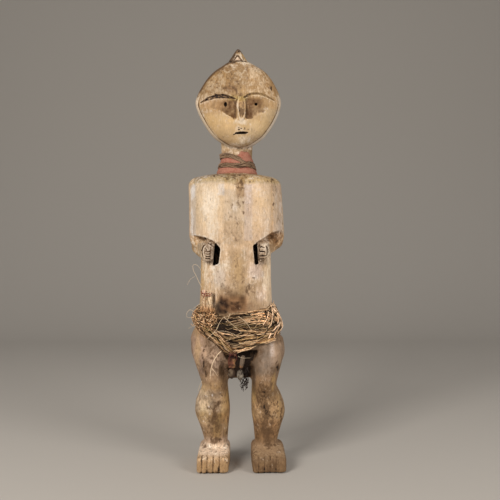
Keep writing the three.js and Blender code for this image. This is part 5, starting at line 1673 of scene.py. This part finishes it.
# the hanks in front, each of strands that keep together, and the three that run down from the mop to the tie
steps = 42
run = np.linspace(0, 1, steps)[None, :]
for number, (places, count, half, kind) in enumerate(HANKS):
    line = smooth_path([(a, 0, b) for a, b in places], steps)
    to_tie = number >= len(HANKS) - 3
    turn = draw.uniform(0, 2 * np.pi, (count, 1)) + draw.uniform(-3.6, 3.6, (count, 1)) * run
    swell = 1 + (0.08 if to_tie else 0.35) * np.sin(7 * run + number)
    ring = np.sqrt(draw.uniform(0.02, 1.4, (count, 1)))
    off = half * 1.2 * ring * swell * (1 + 0.9 * to_tie * ease(0.5, 0, run))
    off = off * (1 - 0.35 * ease(0.75, 1.0, run) * to_tie)
    swing = run * draw.uniform(5, 22, (count, 1)) + draw.uniform(0, 6, (count, 1))
    stray = (0.9 + 0.7 * to_tie) * np.sin(swing)
    across = line[:, 0] + 0.8 * off * np.cos(turn) * to_tie
    height = line[:, 2] + off * np.sin(turn) + stray
    middle, half_wide = along(TRUNK, height)[:2]
    side = np.clip((across - middle) / (half_wide + 7), -0.995, 0.995)
    direction = np.degrees(np.arcsin(np.sign(side) * np.abs(side) ** 1.25))
    clear = 4.6 + 3.4 * to_tie + 0.9 * off * np.cos(turn) + draw.uniform(-0.6, 0.6, (count, 1))
    spot, away = round_point(TRUNK, direction, height)
    paths = off_wood(spot + away * clear[..., None], away, clear)
    tones = strand_tone(draw, count, steps, FIBRES, SHARES[kind], 0.30)
    # painted shade on each hank's inner strands and over the dark gaps left of the middle, and a painted
    # highlight on the hanks to the right
    shade = 1 - 0.65 * ease(0.2, -0.8, np.cos(turn))
    bright = 0.5 * ease(30, 44, across) * ease(64, 54, across)
    bright = 1 + bright * ease(270, 276, height) * ease(296, 290, height)
    bright = bright * (1 - 0.52 * ease(30, 6, across) * ease(264, 272, height)) * (1 - 0.14 * to_tie)
    tones = tones * HANK_TINT * (shade * bright)[..., None]
    lay_apart(wrap, paths, draw.uniform(0.42, 1.0, (count, 1)), draw.uniform(0.35, 0.6, (count, 1)), tones)

# the twist on the viewer's right hip: turns that climb round the band, then loops over its upper edge
for clusters, each, begin, over, first, rise_by, kind, lift in (
    (16, 8, (30, 84), (15, 25), (-0.08, 0.60), 0.42, "bright", 0.0),
    (6, 10, (42, 72), (16, 28), (0.70, 1.10), -0.55, "mixed", 0.12),
    (5, 10, (42, 66), (10, 22), (0.2, 0.7), 0.55, "bright", 0.2),
):
    count, steps = clusters * each, 18
    run = np.linspace(0, 1, steps)[None, :]
    which = np.arange(count) // each
    place = draw.uniform(-1, 1, (count, 1))
    start = np.linspace(*begin, clusters)[draw.permutation(clusters)][which][:, None]
    go = draw.uniform(*over, clusters)[which][:, None]
    low = draw.uniform(*first, clusters)[which][:, None]
    direction = start + 1.6 * place + go * run
    share = low + 0.055 * place + rise_by * draw.uniform(0.75, 1.15, clusters)[which][:, None] * run
    bow = np.sin(np.pi * run)
    ply = draw.uniform(0.62, 1.0, clusters)[which][:, None]
    paths = wound(direction, np.clip(share, -0.05, 1.12), ply + lift + 0.3 * bow * (1 - 0.5 * place**2), 0.5)
    tones = strand_tone(draw, count, steps, FIBRES, SHARES[kind], 0.22)
    # painted shade: strands at the edges of each cluster darker
    tones = tones * (1.12 - 0.7 * np.abs(place) ** 1.5)[..., None]
    wide, thick = draw.uniform(0.45, 1.0, (count, 1)), draw.uniform(0.4, 0.7, (count, 1))
    lay_apart(wrap, paths, wide, thick, tones * TWIST_TINT)
skirt_wrap = wrap.piece("skirt_wrap", fibre_finish, "palm_fibre")
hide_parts("fibre_skirt")

# The mop on the hip, a knot of fibre ends that curl and loop back on themselves, with a bundle of straight
# fibres that stands up from it.
draw = np.random.default_rng(31)
mop = Hank()
# its core, dark and seen only between the strands: painted shade
points, faces = egg(MOP, np.array(MOP_HALF) * 0.8)
mop.body(points, faces, BROWN * 0.5)
count, steps = 620, 8
run = np.linspace(0, 1, steps)[None, :]
way = draw.normal(0, 1, (count, 3))
way[:, 1] -= 0.45
way = way / length_of(way)
centre = np.array(MOP) + way * np.array(MOP_HALF) * draw.uniform(0.76, 1.0, (count, 1))
first = np.cross(way, draw.normal(0, 1, (count, 3)))
first = first / length_of(first)
second = np.cross(way, first)
second = second + way * draw.uniform(-0.8, 0.8, (count, 1))
turn = draw.uniform(0, 6, (count, 1)) + draw.uniform(0.2, 1.0, (count, 1)) * run
size = draw.uniform(6, 17, (count, 1)) * (1 - 0.25 * run)
bow = (size * np.cos(turn))[..., None], (size * np.sin(turn))[..., None]
paths = centre[:, None] + first[:, None] * bow[0] + second[:, None] * bow[1]
reach = np.sqrt((((paths - np.array(MOP)) / np.array(MOP_HALF)) ** 2).sum(-1, keepdims=True))
sprung = np.where(np.arange(count) % 7 == 0, 1.22, 1.04)[:, None, None]
paths = np.array(MOP) + (paths - np.array(MOP)) * np.minimum(1, sprung / reach)
toward_belly = 0.75 * np.clip(paths[..., 0] + 43, 0, None)
paths[..., 0] -= toward_belly * ease(286, 296, paths[..., 2])
away = paths * (1, 1, 0) - (-5, 0, 0)
paths = off_wood(paths, away / length_of(away), 0.8 + 0 * size * run)
tones = strand_tone(draw, count, steps, FIBRES, [0.18, 0.28, 0.22, 0.04, 0.16, 0.12], 0.3)
# painted shade: strands deeper in the mop darker, and a painted shadow over its lower part nearest the belly
tones = tones * (0.55 + 0.48 * ease(0.74, 0.98, np.minimum(reach, 1)))
shadow = 0.55 * ease(-50, -38, paths[..., :1]) * ease(288, 276, paths[..., 2:])
tones = tones * MOP_TINT * (1 - shadow)
mop.lay(paths, draw.uniform(0.32, 0.72, (count, 1)), draw.uniform(0.3, 0.5, (count, 1)), tones)

# the bundle that stands up from it: fine limp fibres in two locks, each given by its foot, its number of
# fibres, half width, half depth and top
LOCKS = [((-63, -60.5), 60, 3.8, 4.4, 335), ((-53.6, -62), 96, 5.6, 5.6, 333)]
PINKISH_TIP = np.array([0.72, 0.50, 0.42])
for lock, count, half_x, half_y, top in LOCKS:
    # each lock's core, darker and seen only between its fibres: painted shade
    core, core_faces = egg((*lock, (288 + top) / 2), (half_x * 0.85, half_y * 0.85, (top - 288) / 2), 14, 12)
    mop.body(core, core_faces, STRAW * 0.6)
    steps = 18
    run = np.linspace(0, 1, steps)[None, :]
    turn = draw.uniform(0, 2 * np.pi, (count, 1)) + draw.uniform(-0.9, 0.9, (count, 1)) * run
    ring = np.sqrt(draw.uniform(0.2, 1, (count, 1))) * (1.0 - 0.25 * ease(0.6, 1, run))
    rise = 296 + (top - 296) * draw.uniform(0.8, 1.03, (count, 1)) * run
    ring = ring * (1 + 1.1 * ease(306, 294, rise))
    limp = 0.55 * np.sin(rise / draw.uniform(2, 5, (count, 1)) + draw.uniform(0, 6, (count, 1)))
    x = lock[0] + half_x * ring * np.cos(turn) + limp
    y = lock[1] + half_y * ring * np.sin(turn) + limp
    tones = 0.98 * strand_tone(draw, count, steps, FIBRES[:4], [0.62, 0.24, 0.12, 0.02])
    pinkish = ease(322, 334, rise)[..., None] * (lock[0] < -60)
    tones = tones * (1 - 0.6 * pinkish) + PINKISH_TIP * 0.6 * pinkish
    low_down = ease(314, 298, rise)[..., None]
    tones = tones * (1.12 - low_down * np.array([0.42, 0.60, 0.74]))
    wide, thick = draw.uniform(0.45, 0.85, (count, 1)), draw.uniform(0.4, 0.6, (count, 1))
    mop.lay(np.stack([x, y, rise], -1), wide, thick, tones)
mop.piece("skirt_mop", fibre_finish, "palm_fibre")

# Loose fibres that have sprung out of the skirt: each a single thin strand along the bends it has kept.
# Each list gives places in millimetres, then its half width and whether it is pale.
STRAYS = [
    ([(-66, -58, 338), (-72, -60, 349), (-78, -60, 362), (-83, -58, 372), (-84, -57, 379),
      (-80, -57, 382), (-74, -58, 379), (-69, -59, 371), (-66, -58, 361)], 0.5, 0),
    ([(-80, -58, 360), (-89, -56, 354), (-94.5, -55, 344)], 0.35, 0),
    ([(-60, -58, 348), (-53, -66, 338), (-50, -66, 325)], 0.45, 0),
    ([(-68, -62, 312), (-73, -64, 308), (-79, -62, 304), (-84, -60, 300)], 0.5, 0),
    ([(-82, -58, 296), (-88, -58, 299), (-95, -56, 291), (-94.5, -56, 286), (-86, -58, 284)], 0.45, 0),
    ([(-92, -50, 264), (-85, -54, 268), (-78, -58, 270)], 0.35, 0),
    ([(-31, -74, 226), (-38, -75, 219), (-43, -75, 211), (-47.5, -74, 201), (-50, -73, 190),
      (-51, -72, 176)], 0.85, 1),
    ([(-47.5, -74.5, 195), (-42, -75, 188), (-38, -74, 181)], 0.5, 1),
    ([(-66, -60, 170), (-71, -58, 160), (-74, -56, 150)], 0.4, 0),
    ([(-56, -74, 248), (-48, -76, 256), (-40, -77, 264), (-34, -77.5, 277), (-26, -77, 287),
      (-16, -76, 288)], 0.5, 1),
    ([(-15, -76, 293), (-19, -77, 284), (-23, -77.5, 277)], 0.45, 1),
    ([(-26, -77, 287), (-14, -77.5, 276), (-1, -77.5, 265), (6, -77, 258)], 0.45, 1),
    ([(0, -76, 288), (11, -77, 280), (19, -77, 270), (24, -76, 262)], 0.5, 1),
    ([(-46, -76, 258), (-30, -77, 262), (-12, -77, 258), (2, -77, 250)], 0.45, 1),
    ([(-1, -73, 216), (10, -74, 213), (22, -71, 213)], 0.35, 0),
]
loose = Hank()
for places, half, pale in STRAYS:
    path = smooth_path(places, 30)[None]
    tone = PALE_STRAW * (1.12 if pale else 0.95)
    taper = half * (1 - 0.5 * np.linspace(0, 1, 30)[None])
    loose.lay(path, taper, taper * 0.8, tone)
loose.piece("loose_fibres", fibre_finish, "palm_fibre")

# Two red threads: one wound round the tie in front, whose ends hang loose, and one crossed round the
# bundle that stands up from the mop. Fine cotton, tightly spun.
THREAD_RED = np.array([0.26, 0.05, 0.035])
THREAD_DARK = np.array([0.11, 0.026, 0.02])
THREAD_WORN = np.array([0.36, 0.17, 0.13])


def helix(place, radius, low, high, turns, steps):
    """A path that winds round an upright line: the angle and the height both grow evenly along it."""
    run = np.linspace(0, 1, steps)
    turn = 2 * np.pi * turns * run
    x, y = place[0] + radius * np.cos(turn), place[1] + radius * np.sin(turn)
    return np.stack([x, y, low + (high - low) * run], -1)


thread_finish = plant_fibre("red_thread", 900, 0.25, 0.75)
tie = Hank()
for low, high, turns in ((216.4, 224.4, 5), (223.2, 217.2, 3)):
    path = helix((-10, -67.5), 6.6 + 0.4 * (turns == 3), low, high, turns, 36 * turns)[None]
    worn = ease(0.35, 0.7, waves(*np.moveaxis(path, -1, 0), (3, 3, 2), 61))[..., None]
    tie.lay(path, 0.45, 0.4, THREAD_DARK * 0.6 * (1 - worn) + THREAD_WORN * worn)
for places in (
    [(-13, -74, 219), (-17, -75, 214), (-18, -74.5, 206), (-16.5, -73, 199)],
    [(-6, -74.5, 219), (-3, -75.5, 215), (-3.5, -75, 209)],
):
    tie.lay(smooth_path(places, 20)[None], 0.5, 0.45, THREAD_DARK * 1.2)
front_thread = tie.piece("tie_thread", thread_finish, "red_thread")
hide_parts("front_thread")

tie = Hank()
for start, slope in ((0.3, 4.4), (2.2, -4.4), (4.0, 1.4)):
    turn = np.linspace(0, 2 * np.pi * 1.96, 90)
    up = 328.6 + slope * np.sin(turn + start)
    around = 9.4 + 0.3 * (slope < 0)
    x, y = BUNDLE[0] + around * np.cos(turn), BUNDLE[1] + around * 0.9 * np.sin(turn)
    path = np.stack([x, y, up], -1)[None]
    tie.lay(path, 0.55, 0.5, THREAD_RED * (0.7 + 0.4 * draw.random((1, 90, 1))))
path = smooth_path([(-61, -69, 330), (-63, -69.5, 324), (-65, -69.3, 316), (-64, -68.5, 309)], 20)[None]
tie.lay(path, 0.5, 0.45, THREAD_DARK * 1.3)
bundle_thread = tie.piece("bundle_wound_thread", thread_finish, "red_thread")
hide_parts("bundle_thread")

# The packet, a strip of dark bark folded flat on itself and tied under the red thread. Its last fold
# shows its pale inner side on the viewer's right.
PACKET, PACKET_HALF = (-12, -66, 205), (6.3, 4.3, 11.4)
OUTER_BARK, INNER_BARK = np.array([0.085, 0.036, 0.024]), np.array([0.27, 0.145, 0.07])
BARK_SHADE, BARK_RED = np.array([0.028, 0.012, 0.01]), np.array([0.30, 0.12, 0.06])
PACKET_TIE = np.array([0.10, 0.05, 0.03])


def box_lump(place, half, square, shape):
    """A closed lump with a rounded box for its section and rounded ends: |x/a|^n + |y/b|^n = 1 at each
    height, times what shape(turn, rise) gives."""
    rise = np.linspace(-0.985, 0.985, 30)[:, None]
    turn = np.linspace(0, 2 * np.pi, 36, endpoint=False)[None, :]
    ends = (1 - np.abs(rise) ** 7) ** (1 / 3)
    across = np.sign(np.cos(turn)) * np.abs(np.cos(turn)) ** (2 / square)
    deep = np.sign(np.sin(turn)) * np.abs(np.sin(turn)) ** (2 / square)
    size = ends * shape(turn, rise)
    rings = np.stack([across * size, deep * size, rise + 0 * turn], -1) * np.array(half, float) + place
    foot = np.array(place, float) - (0, 0, half[2])
    return capped(rings, foot, foot + (0, 0, 2 * half[2]))


def packet_shape(turn, rise):
    """1 plus low waves round and along the packet, less a groove near 5.35 radians where the last fold ends."""
    waved = 1 + 0.05 * np.sin(3 * turn + 5 * rise) + 0.06 * np.sin(9 * rise + turn)
    return waved - 0.12 * ease(0.22, 0.05, np.abs(turn - 5.35 - 0.1 * rise))


packet = Hank()
points, faces = box_lump(PACKET, PACKET_HALF, 4.5, packet_shape)
right = ease(PACKET[0] + 2.2, PACKET[0] + 3.4, points[:, 0] + 0.7 * np.sin(points[:, 2] / 3))[:, None]
colour = OUTER_BARK * (1 - right) + INNER_BARK * right
colour = colour * (1 + 0.7 * waves(*points.T, (2.6, 2.6, 4), 41))[:, None]
# painted shade at its upper end, under the red thread
colour = toned(colour, BARK_SHADE, ease(210, 213, points[:, 2]))
reddish = 0.8 * ease(0.3, 0.7, waves(*points.T, (2.2, 2.2, 3), 47)) * ease(212, 208, points[:, 2])
colour = toned(colour, BARK_RED, reddish)
packet.body(points, faces, colour)
for level in (211.5, 198.5):
    turn = np.linspace(0, 2 * np.pi, 40)
    wave = np.stack([
        PACKET[0] + 6.9 * np.sign(np.cos(turn)) * np.abs(np.cos(turn)) ** 0.45,
        PACKET[1] + 4.8 * np.sign(np.sin(turn)) * np.abs(np.sin(turn)) ** 0.45,
        level + 0.8 * np.sin(turn + level),
    ], -1)[None]
    packet.lay(wave, 0.45, 0.4, PACKET_TIE)
folded_packet = packet.piece("folded_packet", plant_fibre("dark_bark_skin", 380, 0.14, 0.7), "dark_bark")
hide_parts("bark_packet")

# The peg, a small stick of pale wood whittled round and browned at its lower end. It hangs beside the packet
# under the lower edge of the skirt.
PEG, PEG_HALF = (6.5, -66, 205.2), (4.1, 4.1, 11.6)
PEG_WOOD, PEG_BROWN = np.array([0.15, 0.11, 0.08]), np.array([0.25, 0.135, 0.07])


def peg_shape(turn, rise):
    """1 plus five shallow facets and a slight wave along the peg, less what draws both ends in."""
    facets = 1 + 0.05 * np.cos(5 * turn) + 0.05 * np.sin(4 * rise + 2)
    return facets - 0.14 * ease(0.7, 1, rise) - 0.2 * ease(0.2, -1, rise)


peg = Hank()
points, faces = box_lump(PEG, PEG_HALF, 2.3, peg_shape)
points[:, 0] += 0.16 * (points[:, 2] - PEG[2])  # it leans
foot = ease(200, 195.5, points[:, 2] + 1.2 * waves(*points.T, (3, 3, 3), 42))[:, None]
colour = PEG_WOOD * (1 - foot) + PEG_BROWN * foot
peg.body(points, faces, colour * (1 + 0.45 * waves(*points.T, (1.4, 1.4, 9), 43))[:, None])
whittled_peg = peg.piece("whittled_peg", plant_fibre("peg_wood", 420, 0.14, 0.75), "peg_wood")
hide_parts("wooden_peg")

# The pod charm, half of a hard grey-brown seed pod with a dark lip along its lower side. Its stalk lies
# beside it, and a short string leads up from its top.
POD, POD_HALF = (-12.5, -66, 184), (7.0, 4.2, 9.0)
POD_BROWN, POD_LIP = np.array([0.125, 0.090, 0.062]), np.array([0.045, 0.028, 0.02])
STALK_BROWN = np.array([0.07, 0.04, 0.025])
STRING_BROWN = np.array([0.12, 0.06, 0.035])


def pod_dent(turn, rise):
    """A low ridge on each side of the front and six low lobes round the pod."""
    ridges = 0.05 * ease(0.35, 0.0, np.abs(np.abs(turn - 4.71) - 1.0 - 0.3 * rise))
    return ridges + 0.03 * np.sin(6 * turn) * np.cos(rise) ** 2


pod = Hank()
points, faces = egg(POD, POD_HALF, 40, 26, pod_dent)
x, y, z = points.T
outward = np.hypot((x - POD[0] + 2.2) / POD_HALF[0], (z - POD[2] - 2) / POD_HALF[2])
lip = ease(0.55, 0.9, outward * ((x > POD[0] - 3) | (z < POD[2])))
colour = POD_BROWN * (1 + 0.6 * waves(x, y, z, (2.4, 2.4, 3.5), 44))[:, None]
pod.body(points, faces, toned(colour, POD_LIP, lip))
stalk = smooth_path([(-24.5, -64, 192), (-21, -69, 189.5), (-16.5, -71, 186)], 14)[None]
pod.lay(stalk, 1.0, 0.9, STALK_BROWN)
string = smooth_path([(-12.4, -68, 192), (-12.2, -69.5, 194.5), (-12, -68.5, 197)], 10)[None]
pod.lay(string, 0.5, 0.45, STRING_BROWN)
seed_pod = pod.piece("seed_pod", plant_fibre("pod_skin", 480, 0.12, 0.8), "grey_shell")
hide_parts("pod_charm")

# The shell charm, a small grey shell with ribs that spread from its upper end, worn smooth. A short string
# leads up from it like the pod's.
SHELL, SHELL_HALF = (3, -66, 182.5), (5.8, 4.4, 10.4)
SHELL_GREY = np.array([0.135, 0.112, 0.09])
SHELL_DARK, SHELL_PALE = np.array([0.02, 0.016, 0.014]), np.array([0.40, 0.35, 0.285])


def shell_dent(turn, rise):
    """Sixteen low ribs, as a wave in the turn, less what draws the upper end in."""
    return 0.035 * np.cos(16 * turn) * ease(-1.4, 0.4, -rise) - 0.20 * ease(0.5, 1.5, rise)


shell = Hank()
points, faces = egg(SHELL, SHELL_HALF, 64, 30, shell_dent)
x, y, z = points.T
colour = SHELL_GREY * (1 + 0.22 * waves(x, y, z, (2.5, 2.5, 6), 45))[:, None]
colour = toned(colour, SHELL_DARK, 0.9 * ease(0.1, 0.5, waves(x, y, z, (1.8, 1.8, 2.6), 48)))
rubbed = 0.6 * ease(187, 179, z) * ease(0.2, 0.8, waves(x, y, z, (5, 5, 5), 46) + 0.6)
shell.body(points, faces, toned(colour, SHELL_PALE, rubbed))
string = smooth_path([(3.5, -67, 190.5), (4.6, -69.5, 193.5), (5.2, -69, 197)], 10)[None]
shell.lay(string, 0.5, 0.45, STRING_BROWN)
ribbed_shell = shell.piece("ribbed_shell", plant_fibre("shell_skin", 300, 0.14, 0.75), "grey_shell")
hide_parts("shell_charm")

# The tassel, several ends of black cord knotted along their length. They hang in one bunch, lower than the
# charms beside them.
# Height, middle across, half width, half depth
TASSEL = [(150, 9, 3, 2), (158, 10, 6.6, 3.4), (168, 11.5, 9.2, 4.4), (180, 12.5, 9, 4.4), (193, 13, 4, 2.6)]
TASSEL_Y = -57.6
BLACK = np.array([0.020, 0.015, 0.013])
tassel = Hank()
count, steps = 16, 60
rise = 194 - draw.uniform(33, 45, (count, 1)) * np.linspace(0, 1, steps)[None, :]
middle, half, deep = along(TASSEL, rise)
draw.random(count)  # passed over, which moves on the draws that follow and so where the cords lie
twist = 1.7 * np.sin(rise / 6 + draw.uniform(0, 6, (count, 1)))
angle = np.linspace(0, 2 * np.pi, count, endpoint=False)[:, None] + twist
share = draw.uniform(0.35, 1, (count, 1))
x, y = middle + half * share * np.cos(angle), TASSEL_Y + deep * share * np.sin(angle)
paths = np.stack([x, y, rise], -1)
knots = 0.42 + 0.62 * ease(0.6, 0.95, np.sin(rise / 1.9 + draw.uniform(0, 6, (count, 1))))
tassel.lay(paths, knots, knots * 0.9, strand_tone(draw, count, steps, [BLACK, BLACK * 2.2], [0.65, 0.35]))
black_tassel = tassel.piece("black_tassel", plant_fibre("black_cord", 700, 0.1, 0.75), "black_cord")
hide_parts("knotted_tassel")

# A plain pale floor and soft studio light: a large soft box high on the left, a weaker one on the right and
# an even surround.
profile = np.array([(-7.0, 0.0), (2.0, 0.0)])
bow = np.radians(np.linspace(0, 90, 25))[1:]
curve = np.stack([2.0 + 1.6 * np.sin(bow), 1.6 - 1.6 * np.cos(bow)], -1)
profile = np.concatenate([profile, curve, [(3.6, 6.0)]])
sheet = np.array([[(-7, y, z), (7, y, z)] for y, z in profile])
mesh = bpy.data.meshes.new("floor")
rows = np.arange(len(profile) - 1)[:, None] * 2 + np.array([0, 1, 3, 2])
mesh.from_pydata(sheet.reshape(-1, 3).tolist(), [], rows.tolist())
mesh.shade_smooth()
floor = bpy.data.objects.new("floor", mesh)
bpy.context.scene.collection.objects.link(floor)
floor_paint, _, shader, _ = finish_of("floor_paint")
shader.inputs["Base Color"].default_value = (0.56, 0.535, 0.505, 1)
shader.inputs["Roughness"].default_value = 0.9
floor.data.materials.append(floor_paint)


def soft_box(name, place, aim, size, power):
    """A square area light that looks at a point."""
    box = bpy.data.lights.new(name, "AREA")
    box.size = size
    box.energy = power
    box.color = (1, 0.94, 0.86)
    holder = bpy.data.objects.new(name, box)
    holder.location = place
    way = Vector(aim) - Vector(place)
    holder.rotation_euler = way.to_track_quat("-Z", "Y").to_euler()
    bpy.context.scene.collection.objects.link(holder)


soft_box("left_box", (-1.3, -2.0, 1.45), (0, 0, 0.40), 1.0, 52)
soft_box("right_box", (1.7, -1.7, 1.2), (0, 0, 0.4), 1.0, 24)
surround = bpy.data.worlds.new("surround")
surround.use_nodes = True
surround.node_tree.nodes["Background"].inputs["Color"].default_value = (1, 0.95, 0.89, 1)
surround.node_tree.nodes["Background"].inputs["Strength"].default_value = 0.26
bpy.context.scene.world = surround
bpy.context.scene.view_settings.view_transform = "Standard"
